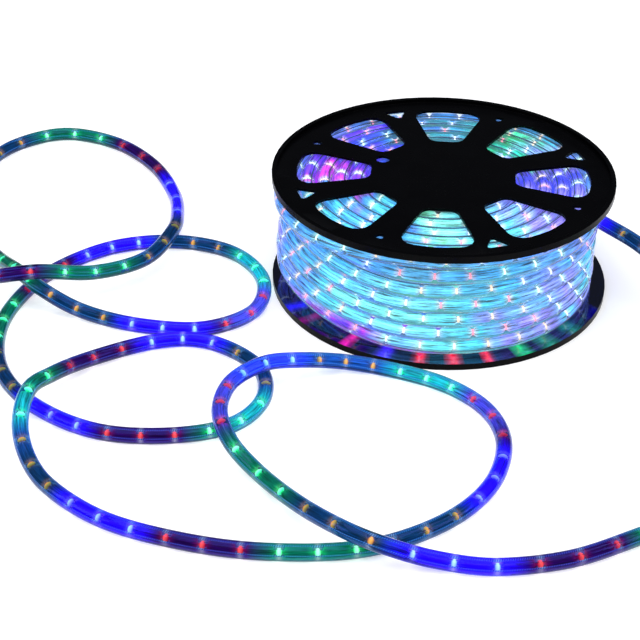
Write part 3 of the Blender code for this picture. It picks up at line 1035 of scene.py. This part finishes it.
def lamp_tree() -> Tree:
    """Return the tree that puts a bead of the right colour at each lamp's point.

    Returns:
        The tree.
    """
    inputs = {"Bead radius": "Float", "Bead half length": "Float"}
    tree = Tree("lamps_at_points", {**inputs, **{lamp.name: "Material" for lamp in Lamp}})
    sheet, read = tree.sheet, tree.read
    ball = sheet.shape("MeshUVSphere", {"Segments": 10, "Rings": 5, "Radius": 1.0})
    bead = tree.stored(ball, "bead", "FLOAT_VECTOR", sheet.shape("InputPosition"))
    size = sheet.vector(read("Bead radius"), read("Bead radius"), read("Bead half length"))
    aim = tree.aim()
    both = sheet.add("GeometryNodeJoinGeometry")
    for lamp in Lamp:
        here = sheet.add("FunctionNodeCompare", data_type="INT", operation="EQUAL")
        sheet.feed(here, {2: tree.named("hue", "INT"), 3: lamp.value})
        beads = sheet.shape("InstanceOnPoints", {
            "Points": read("Geometry"), "Selection": here.outputs[0], "Instance": bead, "Rotation": aim,
            "Scale": size})
        real = sheet.shape("RealizeInstances", {0: beads})
        sheet.feed(both, {0: sheet.shape("SetMaterial", {"Geometry": real, "Material": read(lamp.name)})})
    tree.end(sheet.shape("SetShadeSmooth", {"Geometry": both.outputs[0]}), None)
    return tree


def leg_tree() -> Tree:
    """Return the tree that lays a lamp's legs along the rope on both sides of its bead.

    Returns:
        The tree.
    """
    tree = Tree("lamp_legs", {
        "Thickness": "Float", "Length": "Float", "Height": "Float", "Material": "Material"})
    sheet, read = tree.sheet, tree.read
    legs = sheet.add("GeometryNodeJoinGeometry")
    for side in Side:
        inputs = {"Vertices": 4, "Radius": read("Thickness"), "Depth": read("Length")}
        leg = sheet.shape("MeshCylinder", inputs, fill_type="NGON")
        shift = sheet.vector(sheet.math("MULTIPLY", read("Height"), float(side.value)))
        sheet.feed(legs, {0: sheet.shape("Transform", {"Geometry": leg, "Translation": shift})})
    tree.end(sheet.shape("InstanceOnPoints", {
        "Points": read("Geometry"), "Instance": legs.outputs[0], "Rotation": tree.aim()}), read("Material"))
    return tree


def ease(share: float) -> float:
    """Return a share from 0 to 1 that starts and stops gently."""
    share = min(max(share, 0.0), 1.0)
    return share * share * (3.0 - 2.0 * share)


@dataclass
class Strand:
    """One length of rope: its centre line with the lamp count, paleness and girth at each point."""

    points: list[Vector]
    lamps: list[float] = field(default_factory=list)
    pale: list[float] = field(default_factory=list)
    girth: list[float] = field(default_factory=list)
    lengths: list[float] = field(default_factory=list)

    def __post_init__(self) -> None:
        """Measure the length at each point and fill in what isn't given."""
        self.lengths = [0.0]
        for a, b in zip(self.points, self.points[1:]):
            self.lengths.append(self.lengths[-1] + (b - a).length)
        self.pale = self.pale or [0.0] * len(self.points)
        self.girth = self.girth or [1.0] * len(self.points)

    def lamp_stations(self) -> list[tuple[int, float, int]]:
        """Return each lamp's place as the point before it, the share of the way on, and its count.

        Returns:
            These three for each lamp, in order.
        """
        found = []
        for i, (low, high) in enumerate(zip(self.lamps, self.lamps[1:])):
            for count in range(math.ceil(low), math.ceil(high)):
                found.append((i, (count - low) / (high - low), count))
        return found

    def lamp_points(self) -> list[tuple[Vector, Vector, Lamp]]:
        """Return each lamp's place, its direction along the rope and its colour.

        Returns:
            These three for each lamp, in order.
        """
        found = []
        for i, share, count in self.lamp_stations():
            a, b = self.points[i], self.points[i + 1]
            colour = Lamp(count % LAMPS_PER_RUN // LAMPS_PER_COLOUR)
            found.append((a.lerp(b, share), (b - a).normalized(), colour))
        return found

    def waisted(self, waist: Waist) -> "Strand":
        """Return a copy that narrows to a waist round each lamp, so that the lamp shows.

        Args:
            waist: The waist's shape.

        Returns:
            The new strand.
        """
        half, outer = waist.half_length, waist.half_length + waist.slope
        middles = [self.lengths[i] + share * (self.lengths[i + 1] - self.lengths[i])
                   for i, share, _ in self.lamp_stations()]
        middles = [m for m in middles if outer < m < self.lengths[-1] - outer]
        stations = [(length, 1.0) for length in self.lengths
                    if not any(abs(length - m) <= outer for m in middles)]
        for m in middles:
            stations += [(m - outer, 1.0), (m - half, waist.share),
                         (m + half, waist.share), (m + outer, 1.0)]
        stations.sort()
        copy = Strand([])
        at = 0
        for length, girth in stations:
            while at < len(self.lengths) - 2 and self.lengths[at + 1] < length:
                at += 1
            share = (length - self.lengths[at]) / max(self.lengths[at + 1] - self.lengths[at], 1e-9)
            copy.points.append(self.points[at].lerp(self.points[at + 1], share))
            copy.lamps.append(self.lamps[at] + share * (self.lamps[at + 1] - self.lamps[at]))
            copy.pale.append(self.pale[at] + share * (self.pale[at + 1] - self.pale[at]))
            copy.girth.append(girth)
        copy.lengths = [length for length, _ in stations]
        return copy


def strand_mesh(strands: Sequence[Strand]) -> Mesh:
    """Return a mesh of edges that carries the strands with their lamp count and length.

    Args:
        strands: The lengths of rope.

    Returns:
        The mesh, with the point attributes lamp, along, pale and girth.
    """
    mesh = bpy.data.meshes.new("strands")
    points, edges = [], []
    numbers = {"lamp": [], "along": [], "pale": [], "girth": []}
    for strand in strands:
        base = len(points)
        points += strand.points
        edges += [(base + i, base + i + 1) for i in range(len(strand.points) - 1)]
        for name, values in zip(numbers, (strand.lamps, strand.lengths, strand.pale, strand.girth)):
            numbers[name] += values
    mesh.from_pydata(points, edges, [])
    for name, values in numbers.items():
        mesh.attributes.new(name, "FLOAT", "POINT").data.foreach_set("value", values)
    return mesh


def lamp_mesh(strands: Sequence[Strand]) -> Mesh:
    """Return a mesh of loose points, one for each lamp, with its direction and colour.

    Args:
        strands: The lengths of rope.

    Returns:
        The mesh, with the point attributes aim and hue.
    """
    found = [item for strand in strands for item in strand.lamp_points()]
    mesh = bpy.data.meshes.new("lamp_points")
    mesh.from_pydata([place for place, _, _ in found], [], [])
    aims = [number for _, aim, _ in found for number in aim]
    mesh.attributes.new("aim", "FLOAT_VECTOR", "POINT").data.foreach_set("vector", aims)
    hues = [lamp.value for _, _, lamp in found]
    mesh.attributes.new("hue", "INT", "POINT").data.foreach_set("value", hues)
    return mesh


@dataclass
class RopeMaker:
    """Dresses strands of rope: jacket, core, wires, lamps and their legs."""

    size: RopeSize = ROPE
    tubes: Tree = field(default_factory=tube_tree)
    beads: Tree = field(default_factory=lamp_tree)
    legs: Tree = field(default_factory=leg_tree)

    def tube(self, name: str, strands: Sequence[Strand], radius: float, sides: int, finish: Finish,
             offset: float = 0.0, rise: float = 0.0, capped: bool = False) -> Piece:
        """Draw a tube along strands.

        Args:
            name: The piece's name.
            strands: What it follows.
            radius: Its radius.
            sides: Its sides.
            finish: Its finish.
            offset: How far it lies to the side of the centre line.
            rise: How far it lies above the centre line.
            capped: Whether its ends are closed.

        Returns:
            The piece, riding on the body.
        """
        piece = self.tubes.run(name, strand_mesh(strands), {
            "Radius": radius, "Sides": sides, "Offset": offset, "Rise": rise, "Capped": capped,
            "Material": finish.material()})
        return self.ready(piece)

    def lamps(self, name: str, strands: Sequence[Strand], glass: dict[Lamp, LampGlass],
              share: float = 1.0) -> Piece:
        """Put a bead at each lamp of the strands.

        Args:
            name: The piece's name.
            strands: The strands that carry the lamps.
            glass: The finish for each colour of lamp.
            share: The beads' size, as a share of the rope's own.

        Returns:
            The piece.
        """
        values = {lamp.name: glass[lamp].material() for lamp in Lamp}
        values["Bead radius"] = share * self.size.bead_radius
        values["Bead half length"] = share * self.size.bead_half_length
        return self.ready(self.beads.run(name, lamp_mesh(strands), values))

    def lamp_legs(self, name: str, strands: Sequence[Strand]) -> Piece:
        """Lay the legs of each lamp of the strands."""
        return self.ready(self.legs.run(name, lamp_mesh(strands), {
            "Thickness": self.size.lead_wire_radius, "Length": 2 * self.size.lead_wire_half_length,
            "Height": self.size.lead_wire_height, "Material": LeadWire().material()}))

    def ready(self, piece: Piece) -> Piece:
        """Turn inside-out faces round, then let the piece ride on the body.

        Args:
            piece: The piece.

        Returns:
            The same piece.
        """
        turn_outwards(piece.data)
        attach(piece, BODY)
        log.info("%s: %d faces", piece.name, len(piece.data.polygons))
        return piece


def turn_outwards(mesh: Mesh) -> None:
    """Flip a mesh whose faces point inwards.

    Args:
        mesh: The mesh, all of whose shells are wound the same way.
    """
    bm = bmesh.new()
    bm.from_mesh(mesh)
    if bm.calc_volume(signed=True) < 0:
        bmesh.ops.reverse_faces(bm, faces=bm.faces)
        bm.to_mesh(mesh)
    bm.free()


def smooth_route(points: Sequence[tuple[float, float, float]], steps: int) -> list[Vector]:
    """Return dense points of the smooth curve through a route, never below the rope's radius.

    Args:
        points: The route's points.
        steps: How many points each stretch gets.

    Returns:
        The dense points.
    """
    knots = [Vector(p) for p in points]
    knots.insert(0, knots[0] * 2 - knots[1])
    knots.append(knots[-1] * 2 - knots[-2])
    dense = []
    for a, b, c, d in zip(knots, knots[1:], knots[2:], knots[3:]):
        t1 = math.sqrt((b - a).length)
        t2 = t1 + math.sqrt((c - b).length)
        t3 = t2 + math.sqrt((d - c).length)
        for step in range(steps):
            t = t1 + (t2 - t1) * step / steps
            ab = a.lerp(b, t / t1)
            bc = b.lerp(c, (t - t1) / (t2 - t1))
            cd = c.lerp(d, (t - t2) / (t3 - t2))
            abc = ab.lerp(bc, t / t2)
            bcd = bc.lerp(cd, (t - t1) / (t3 - t1))
            dense.append(abc.lerp(bcd, (t - t1) / (t2 - t1)))
    dense.append(knots[-2])
    for point in dense:
        point.z = max(point.z, ROPE.radius)
    return dense


def turned_piece(name: str, outline: Sequence[tuple[float, float]], steps: int, finish: Finish,
                 place: Matrix = Matrix()) -> Piece:
    """Turn a section round the Z axis.

    Args:
        name: The piece's name.
        outline: The section's radii and heights. A closed section ends with its first point.
        steps: The steps of the full turn.
        finish: The piece's finish.
        place: Where the turned shape goes.

    Returns:
        The piece, with soft faces and sharp corners.
    """
    bm = bmesh.new()
    verts = [bm.verts.new((r, 0.0, z)) for r, z in outline]
    edges = [bm.edges.new(pair) for pair in zip(verts, verts[1:])]
    bmesh.ops.spin(bm, geom=verts + edges, angle=2 * math.pi, steps=steps, axis=(0, 0, 1), cent=(0, 0, 0))
    bmesh.ops.remove_doubles(bm, verts=bm.verts, dist=WELD)
    bmesh.ops.recalc_face_normals(bm, faces=bm.faces)
    bmesh.ops.transform(bm, matrix=place, verts=bm.verts)
    mesh = bpy.data.meshes.new(name)
    bm.to_mesh(mesh)
    bm.free()
    mesh.shade_smooth()
    mesh.set_sharp_from_angle(angle=SHARP_ANGLE)
    mesh.materials.append(finish.material())
    return in_scene(name, mesh)


@dataclass
class LooseRope:
    """The free length of rope that lies in loops in front of the reel, with its end cap."""

    maker: RopeMaker
    steps: int = 8
    jacket_sides: int = 20
    core_sides: int = 12
    wire_sides: int = 8
    waist: Waist = Waist(0.3, 3.4 * MM, 1.0 * MM)
    lamp_marks: tuple[tuple[float, int], ...] = (
        (-0.120, 0), (0.172, 12), (0.463, 24), (0.818, 36), (1.093, 48), (1.413, 60), (1.735, 72),
        (2.052, 84), (2.357, 96), (2.661, 108), (2.977, 120), (3.337, 132), (3.436, 135), (3.547, 138),
        (3.625, 141), (3.709, 144), (4.060, 156))
    pale_stretches: tuple[tuple[float, float, float], ...] = (
        (0.79, 1.16, 0.6), (1.60, 1.70, 0.65), (1.93, 2.03, 0.65), (2.56, 2.73, 0.8))
    pale_fade: float = 0.04

    def lamp_count(self, length: float) -> float:
        """Return the lamp count at a length, evenly between the marks on both sides of it.

        Args:
            length: The length along the loose rope, in metres.

        Returns:
            The count.
        """
        for (low, count), (high, next_count) in zip(self.lamp_marks, self.lamp_marks[1:]):
            if length < high:
                return count + (next_count - count) * (length - low) / (high - low)
        return float(self.lamp_marks[-1][1])

    def paleness(self, length: float) -> float:
        """Return how pale the rope is at a length, from 0 to 1."""
        return max(share * ease((length - low) / self.pale_fade) * ease((high - length) / self.pale_fade)
                   for low, high, share in self.pale_stretches)

    def strand(self) -> Strand:
        """Return the loose length as one strand.

        Returns:
            The strand.
        """
        strand = Strand(smooth_route(ROUTE, self.steps))
        strand.lamps = [self.lamp_count(length) for length in strand.lengths]
        strand.pale = [self.paleness(length) for length in strand.lengths]
        return strand

    def build(self) -> None:
        strand = self.strand()
        size, maker = self.maker.size, self.maker
        jacket = maker.tube("rope_jacket", [strand], size.radius, self.jacket_sides, ClearJacket(),
                            capped=True)
        jacket.visible_shadow = False
        inside = [maker.tube("rope_core", [strand.waisted(self.waist)], size.core_radius, self.core_sides,
                             LitCore(), capped=True)]
        for side in Side:
            inside.append(maker.tube(
                f"rope_wire_{side.name.lower()}", [strand], size.wire_radius, self.wire_sides,
                StrandedWire(), offset=side.value * size.wire_offset, capped=True))
        inside.append(maker.lamps("rope_lamps", [strand], LAMP_GLASS))
        inside.append(maker.lamp_legs("rope_lamp_legs", [strand]))
        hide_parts("rope_lead")
        cap = EndCap(strand.points[-2], strand.points[-1]).build()
        [tuple(p) for p in strand.points]
        log.info("loose rope: %.3f m", strand.lengths[-1])


@dataclass
class EndCap:
    """The moulded cap on the rope's loose end: a ribbed sleeve with a rounded nose."""

    before: Vector
    end: Vector
    radius: float = 8.0 * MM
    length: float = 22.0 * MM
    socket: float = 13.0 * MM
    wall_gap: float = 0.35 * MM
    ribs: int = 3
    rib_depth: float = 0.45 * MM
    rib_flank: float = 0.3
    rim_edge: float = 0.4 * MM
    nose_share: float = 0.7
    nose_steps: int = 4
    steps: int = 32

    def profile(self) -> list[tuple[float, float]]:
        """Return the section, from the nose down the ribbed outside and up into the socket.

        Returns:
            The section's radii and heights.
        """
        nose = self.radius * self.nose_share
        points = [(0.0, self.length), (nose, self.length)]
        for i in range(1, self.nose_steps + 1):
            angle = math.pi / 2 * i / self.nose_steps
            points.append((nose + (self.radius - nose) * math.sin(angle),
                           self.length - (self.radius - nose) * (1 - math.cos(angle))))
        pitch = self.socket / (2 * self.ribs + 1)
        for i in range(self.ribs, 0, -1):
            top = pitch * 2 * i
            groove = self.radius - self.rib_depth
            points += [(self.radius, top), (groove, top - self.rib_flank * pitch),
                       (groove, top - (1 - self.rib_flank) * pitch), (self.radius, top - pitch)]
        bore = ROPE.radius + self.wall_gap
        points += [(self.radius, self.rim_edge), (self.radius - self.rim_edge, 0.0), (bore, 0.0),
                   (bore, self.socket), (0.0, self.socket)]
        return points

    def build(self) -> Piece:
        """Turn the section round the rope's end.

        Returns:
            The cap.
        """
        along = (self.end - self.before).normalized()
        turn = along.to_track_quat("Z", "Y").to_matrix().to_4x4()
        place = Matrix.Translation(self.end - along * self.socket) @ turn
        cap = turned_piece("moulded_end_cap", self.profile(), self.steps, CapPlastic(), place)
        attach(cap, BODY)
        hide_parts("end_cap")
        log.info("moulded_end_cap: %d faces", len(cap.data.polygons))
        return cap


@dataclass
class Winding:
    """The wound rope: each inner layer's turns that show, and the loose outer layer with the last turn."""

    maker: RopeMaker
    rows: int = 7
    layers: int = 6
    steps: int = 96
    jacket_sides: int = 14
    core_sides: int = 8
    wire_sides: int = 5
    shown_inner_rows: tuple[int, ...] = (0, 5, 6)
    crossover: tuple[float, float] = (math.radians(195), math.radians(262))
    start_dive: float = math.radians(25)
    loose_angle: float = math.radians(188)
    loose_out: float = 7.5 * MM
    loose_level: float = 0.28
    loose_reach: float = 0.62
    tight_in: float = 3.0 * MM
    sag_angle: float = math.radians(218)
    sag: float = 4.0 * MM
    sag_level: float = 0.75
    last_turn_end: float = math.radians(22)
    last_turn_out: float = 8.5 * MM
    last_turn_lift: float = 0.2
    last_turn_above: float = 1.5 * MM
    last_turn_run_off: float = 12.0 * MM
    last_turn_knots: int = 12
    last_turn_steps: int = 8
    ring_sway: tuple[float, float] = (0.5 * MM, 0.25 * MM)
    outer_sway: tuple[float, float] = (0.7 * MM, 0.5 * MM)
    sway_rates: tuple[float, float] = (0.83, 0.71)
    end_gap: float = 0.3 * MM
    hub_play: float = 1.5 * MM
    rim_depth: float = 10.0 * MM
    fade_length: float = 0.12
    waist: Waist = Waist(0.58, 0.9 * MM, 1.8 * MM)
    bead_share: float = 0.93
    core_radius: float = 3.1 * MM
    wire_offset: float = 2.7 * MM
    wire_rise: float = 2.6 * MM
    wire_radius: float = 0.42 * MM
    seed: int = 5

    def __post_init__(self) -> None:
        """Read the winding's space from the frame."""
        low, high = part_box("rope_winding")
        self.bottom, self.top = low[2], high[2]
        self.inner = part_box("hub")[1][0] + self.hub_play
        self.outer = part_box("top_flange")[1][0] - self.rim_depth
        self.random = random.Random(self.seed)
        self.count = 0.0

    def layer_radius(self, layer: int) -> float:
        """Return the centre line's radius of a layer, counted from the hub."""
        pitch = (self.outer - self.inner - 2 * ROPE.radius) / (self.layers - 1)
        return self.inner + ROPE.radius + layer * pitch

    def row_height(self, row: float) -> float:
        """Return the centre line's height of a row, counted from the bottom."""
        pitch = (self.top - self.bottom - 2 * ROPE.radius) / (self.rows - 1)
        return self.bottom + ROPE.radius + row * pitch

    def sway(self, reach: float) -> Callable[[float], float]:
        """Return a smooth random swing round the reel.

        Args:
            reach: Its largest value.

        Returns:
            A function of the angle in radians.
        """
        waves = [(n, self.random.uniform(-1, 1), self.random.uniform(0, 2 * math.pi)) for n in (1, 2, 3, 5)]
        return lambda angle: reach * sum(a * math.sin(n * angle + p) / n for n, a, p in waves)

    def placed(self, radius: float, angle: float, height: float) -> Vector:
        """Return a point of the winding, kept between the lowest and the highest row."""
        height = min(max(height, self.row_height(0)), self.row_height(self.rows - 1))
        return Vector((radius * math.cos(angle), radius * math.sin(angle), height))

    def ring(self, layer: int, row: int) -> Strand:
        """Return one closed turn of an inner layer, slightly uneven.

        Args:
            layer: Its layer, counted from the hub.
            row: Its row, counted from the bottom.

        Returns:
            The turn.
        """
        radius, height = self.layer_radius(layer), self.row_height(row)
        out, up = self.sway(self.ring_sway[0]), self.sway(self.ring_sway[1])
        turns = [-2 * math.pi * (i % self.steps) / self.steps for i in range(self.steps + 1)]
        strand = Strand([self.placed(radius + out(turn), turn, height + up(turn)) for turn in turns])
        strand.lamps = [self.count + length / ROPE.lamp_pitch for length in strand.lengths]
        strand.pale = [1.0] * len(turns)
        self.count = strand.lamps[-1] + self.random.uniform(0.2, 0.8)
        return strand

    def looseness(self, angle: float, height: float) -> float:
        """Return how far the outer layer stands off its layer's radius at a place.

        Args:
            angle: The angle round the reel.
            height: The height of the turn.

        Returns:
            The offset: the low turns bulge at the left and lie close at the right.
        """
        level = (height - self.bottom) / (self.top - self.bottom)
        left = max(0.0, math.cos(angle - self.loose_angle)) ** 2
        right = max(0.0, math.cos(angle)) ** 2
        bulge = self.loose_out * max(0.0, 1.0 - abs(level - self.loose_level) / self.loose_reach)
        return left * bulge - right * self.tight_in * (1.0 - level)

    def sagging(self, angle: float, height: float) -> float:
        """Return how far a turn of the outer layer hangs down at the left, below the top row.

        Args:
            angle: The angle round the reel, in radians.
            height: The height of the turn.

        Returns:
            The drop, in metres.
        """
        level = (height - self.bottom) / (self.top - self.bottom)
        share = level / self.sag_level if level < self.sag_level else (1.0 - level) / (1.0 - self.sag_level)
        return self.sag * max(0.0, math.cos(angle - self.sag_angle)) ** 2 * max(0.0, share)

    def helix(self) -> list[Vector]:
        """Return the outer layer's centre line, which climbs one row at each crossover.

        Returns:
            The centre line's points.
        """
        radius = self.layer_radius(self.layers - 1)
        first, last = self.crossover
        out, up = self.sway(self.outer_sway[0]), self.sway(self.outer_sway[1])
        out_rate, up_rate = self.sway_rates
        points = []
        for i in range(self.steps * self.rows + 1):
            turned = 2 * math.pi * i / self.steps
            if turned < last - first:
                continue
            turn = min(i // self.steps, self.rows - 1)
            climb = ease((turned - 2 * math.pi * turn) / (last - first))
            angle = last - turned
            height = self.row_height(max(turn - 1 + climb, 0.0))
            dive = 2 * ROPE.radius * (1.0 - ease((turned - last + first) / self.start_dive))
            stand_out = self.looseness(angle, height) + out(out_rate * turned) - dive
            height -= self.sagging(angle, height)
            points.append(self.placed(radius + stand_out, angle, height + up(up_rate * turned)))
        return points

    def last_turn(self) -> list[Vector]:
        """Return the last turn's centre line, over the outer layer and down to where the rope leaves.

        Returns:
            The centre line's points.
        """
        leaving = (Vector(ROUTE[1]) - Vector(ROUTE[0])).normalized()
        end = Vector(ROUTE[0]) - leaving * self.end_gap
        radius, top = self.layer_radius(self.layers - 1), self.row_height(self.rows - 1)
        start = self.crossover[1]
        knots = []
        for i in range(self.last_turn_knots + 1):
            share = i / self.last_turn_knots
            angle = start + (self.last_turn_end - start) * share
            stand_out = self.last_turn_out * ease(share / self.last_turn_lift)
            height = top + (end.z + self.last_turn_above - top) * ease(share)
            knots.append(self.placed(radius + stand_out, angle, height))
        knots += [end - leaving * self.last_turn_run_off, end]
        return smooth_route(knots, self.last_turn_steps)

    def outer_layer(self, exit_count: float) -> Strand:
        """Return the outer layer and the last turn as one strand.

        Args:
            exit_count: The lamp count where the loose rope begins, from which this one counts back.

        Returns:
            The strand, which loses its paleness just before it leaves.
        """
        strand = Strand([*self.helix()[:-1], *self.last_turn()])
        whole = strand.lengths[-1]
        strand.lamps = [exit_count - (whole - length) / ROPE.lamp_pitch for length in strand.lengths]
        strand.pale = [ease((whole - length) / self.fade_length) for length in strand.lengths]
        return strand

    def strands(self, exit_count: float) -> list[Strand]:
        """Return every strand of the winding that can be seen from outside.

        Args:
            exit_count: The lamp count where the loose rope begins.

        Returns:
            The strands.
        """
        found = []
        for layer in range(self.layers - 1):
            rows = range(self.rows) if layer == self.layers - 2 else self.shown_inner_rows
            found += [self.ring(layer, row) for row in rows]
        return [*found, self.outer_layer(exit_count)]

    def filling(self) -> Piece:
        """Return the plain lit ring that stands for the hidden turns, dimmed as painted shade.

        Returns:
            The ring.
        """
        low, high = self.row_height(0) + ROPE.radius, self.row_height(self.rows - 1) - 1.5 * ROPE.radius
        inner, outer = self.inner, self.layer_radius(self.layers - 2)
        outline = [(outer, high), (outer, low), (inner, low), (inner, high), (outer, high)]
        return self.maker.ready(turned_piece("winding_filling", outline, self.steps, HiddenTurns()))

    def build(self, exit_count: float) -> None:
        """Make the winding's pieces, which together stand for the winding's solid.

        Args:
            exit_count: The lamp count where the loose rope begins.
        """
        strands, size, maker = self.strands(exit_count), self.maker.size, self.maker
        jacket = maker.tube("wound_jacket", strands, size.radius, self.jacket_sides, WoundJacket())
        jacket.visible_shadow = False
        waisted = [strand.waisted(self.waist) for strand in strands]
        pieces = [jacket, maker.tube("wound_core", waisted, self.core_radius, self.core_sides, WoundCore())]
        for side in Side:
            pieces.append(maker.tube(
                f"wound_wire_{side.name.lower()}", strands, self.wire_radius, self.wire_sides,
                WoundWire(), offset=self.wire_offset, rise=side.value * self.wire_rise))
        pieces += [maker.lamps("wound_lamps", strands, WOUND_LAMP_GLASS, self.bead_share), self.filling()]
        for piece in pieces:
            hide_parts("rope_winding")


@dataclass
class Reel:
    """The black reel: both flanges with softened edges, the hub and the moulded dots."""

    edge_radius: float = 0.5 * MM
    dot_pitch: float = 7.5 * MM
    dot_radius: float = 0.8 * MM
    dot_field: float = 40.0 * MM
    dot_flatness: float = 0.35
    rim_height: float = 3.3 * MM
    polished_radius: float = 141.0 * MM

    def soften(self, node: Piece, polish: Finish | None = None) -> None:
        """Add a copy of a CAD node with rounded edges, which stands for it.

        Args:
            node: The CAD node's object.
            polish: The finish of its upper side inside the rim, where that differs.
        """
        bm = bmesh.new()
        bm.from_mesh(node.data)
        bmesh.ops.remove_doubles(bm, verts=bm.verts, dist=WELD)
        bmesh.ops.dissolve_limit(bm, angle_limit=FLAT_ANGLE, verts=bm.verts, edges=bm.edges)
        mesh = bpy.data.meshes.new(node.name + "_moulded")
        bm.to_mesh(mesh)
        bm.free()
        mesh.materials.clear()
        mesh.materials.append(BlackPlastic().material())
        if polish:
            mesh.materials.append(polish.material())
            for face in mesh.polygons:
                inside = face.center.xy.length < self.polished_radius
                face.material_index = int(face.normal.z > 0.5 and inside)
        piece = in_scene(mesh.name, mesh)
        round_off = piece.modifiers.new("rounded", "BEVEL")
        round_off.width = self.edge_radius
        round_off.segments = 2
        round_off.limit_method = "ANGLE"
        round_off.angle_limit = EDGE_ANGLE
        round_off.harden_normals = True
        mesh.shade_smooth()
        mesh.set_sharp_from_angle(angle=EDGE_ANGLE)
        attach(piece, BODY)
        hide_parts(node.name)
        log.info("%s: %d faces", piece.name, len(mesh.polygons))

    def dots(self) -> None:
        """Add the grid of small moulded dots in the middle of the upper flange."""
        tree = Tree("moulded_dots", {"Dot radius": "Float", "Material": "Material"})
        sheet, read = tree.sheet, tree.read
        ball = sheet.shape("MeshIcoSphere", {"Subdivisions": 2, "Radius": read("Dot radius")})
        flat = sheet.shape("Transform", {"Geometry": ball, "Scale": (1.0, 1.0, self.dot_flatness)})
        tree.end(sheet.shape("InstanceOnPoints", {"Points": read("Geometry"), "Instance": flat}),
                 read("Material"))
        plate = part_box("top_flange")[1].z - self.rim_height
        reach = int(self.dot_field / self.dot_pitch)
        grid = [(x * self.dot_pitch, y * self.dot_pitch, plate)
                for x in range(-reach, reach + 1) for y in range(-reach, reach + 1)
                if math.hypot(x, y) * self.dot_pitch <= self.dot_field]
        mesh = bpy.data.meshes.new("dot_points")
        mesh.from_pydata(grid, [], [])
        piece = tree.run("moulded_dots", mesh, {
            "Dot radius": self.dot_radius, "Material": BlackPlastic().material()})
        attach(piece, BODY)
        log.info("moulded_dots: %d dots", len(grid))

    def build(self, nodes: dict[str, Piece]) -> None:
        """Dress the reel.

        Args:
            nodes: The frame's nodes.
        """
        self.soften(nodes["top_flange"])
        self.soften(nodes["bottom_flange"], PolishedPlastic())
        self.dots()
        hub = nodes["hub"]
        hub.data.materials.clear()
        hub.data.materials.append(BlackPlastic().material())


@dataclass
class Studio:
    """Camera, floor and soft lights."""

    floor_size: float = 9.0
    key_power: float = 46.0
    key_size: float = 2.2
    key_place: tuple[float, float, float] = (-0.1, -0.3, 1.9)
    side_power: float = 14.0
    side_size: float = 1.0
    left_place: tuple[float, float, float] = (-2.0, -0.6, 1.1)
    right_place: tuple[float, float, float] = (1.9, -0.8, 1.2)
    sky: Colour = (0.75, 0.8, 0.9)
    sky_strength: float = 0.10

    def camera(self) -> None:
        """Add the camera at the photograph's place."""
        data = bpy.data.cameras.new("camera")
        data.sensor_width = SENSOR_WIDTH
        data.lens = LENS_PIXELS / FRAME_PIXELS * SENSOR_WIDTH
        data.clip_end = 50.0
        camera = in_scene("camera", data)
        forward = Vector((0.0, math.cos(CAMERA_PITCH), -math.sin(CAMERA_PITCH)))
        level_up = Vector((0.0, math.sin(CAMERA_PITCH), math.cos(CAMERA_PITCH)))
        side = Vector((1.0, 0.0, 0.0))
        right = side * math.cos(CAMERA_ROLL) + level_up * math.sin(CAMERA_ROLL)
        up = level_up * math.cos(CAMERA_ROLL) - side * math.sin(CAMERA_ROLL)
        turn = Matrix((right, up, -forward)).transposed()
        camera.matrix_world = Matrix.Translation(CAMERA_PLACE) @ turn.to_4x4()
        bpy.context.scene.camera = camera

    def floor(self) -> None:
        """Add the floor."""
        bm = bmesh.new()
        bmesh.ops.create_grid(bm, x_segments=1, y_segments=1, size=self.floor_size / 2)
        mesh = bpy.data.meshes.new("floor")
        bm.to_mesh(mesh)
        bm.free()
        mesh.materials.append(PaleFloor().material())
        floor = in_scene("floor", mesh)

    def softbox(self, name: str, place: tuple[float, float, float], size: float, power: float) -> None:
        """Add a square area light that faces the reel.

        Args:
            name: The light's name.
            place: Where it hangs.
            size: Its side.
            power: Its power in watts.
        """
        data = bpy.data.lights.new(name, "AREA")
        data.shape = "SQUARE"
        data.size = size
        data.energy = power
        light = in_scene(name, data)
        light.location = place
        light.rotation_euler = (-Vector(place)).to_track_quat("-Z", "Y").to_euler()

    def build(self) -> None:
        """Add everything."""
        self.camera()
        self.floor()
        self.softbox("overhead", self.key_place, self.key_size, self.key_power)
        self.softbox("left", self.left_place, self.side_size, self.side_power)
        self.softbox("right", self.right_place, self.side_size, self.side_power)
        world = bpy.data.worlds.new("world")
        world.use_nodes = True
        NodeSheet(world.node_tree).feed(world.node_tree.nodes["Background"], {
            "Color": self.sky, "Strength": self.sky_strength})
        bpy.context.scene.world = world
        bpy.context.scene.view_settings.view_transform = "Standard"


def main() -> None:
    """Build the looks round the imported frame."""
    logging.basicConfig(level=logging.INFO, format="%(name)s: %(message)s")
    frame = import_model()
    Studio().build()
    maker = RopeMaker()
    loose = LooseRope(maker)
    loose.build()
    Winding(maker).build(loose.lamp_count(0.0))
    Reel().build(frame["nodes"])


if __name__ == "__main__":
    main()
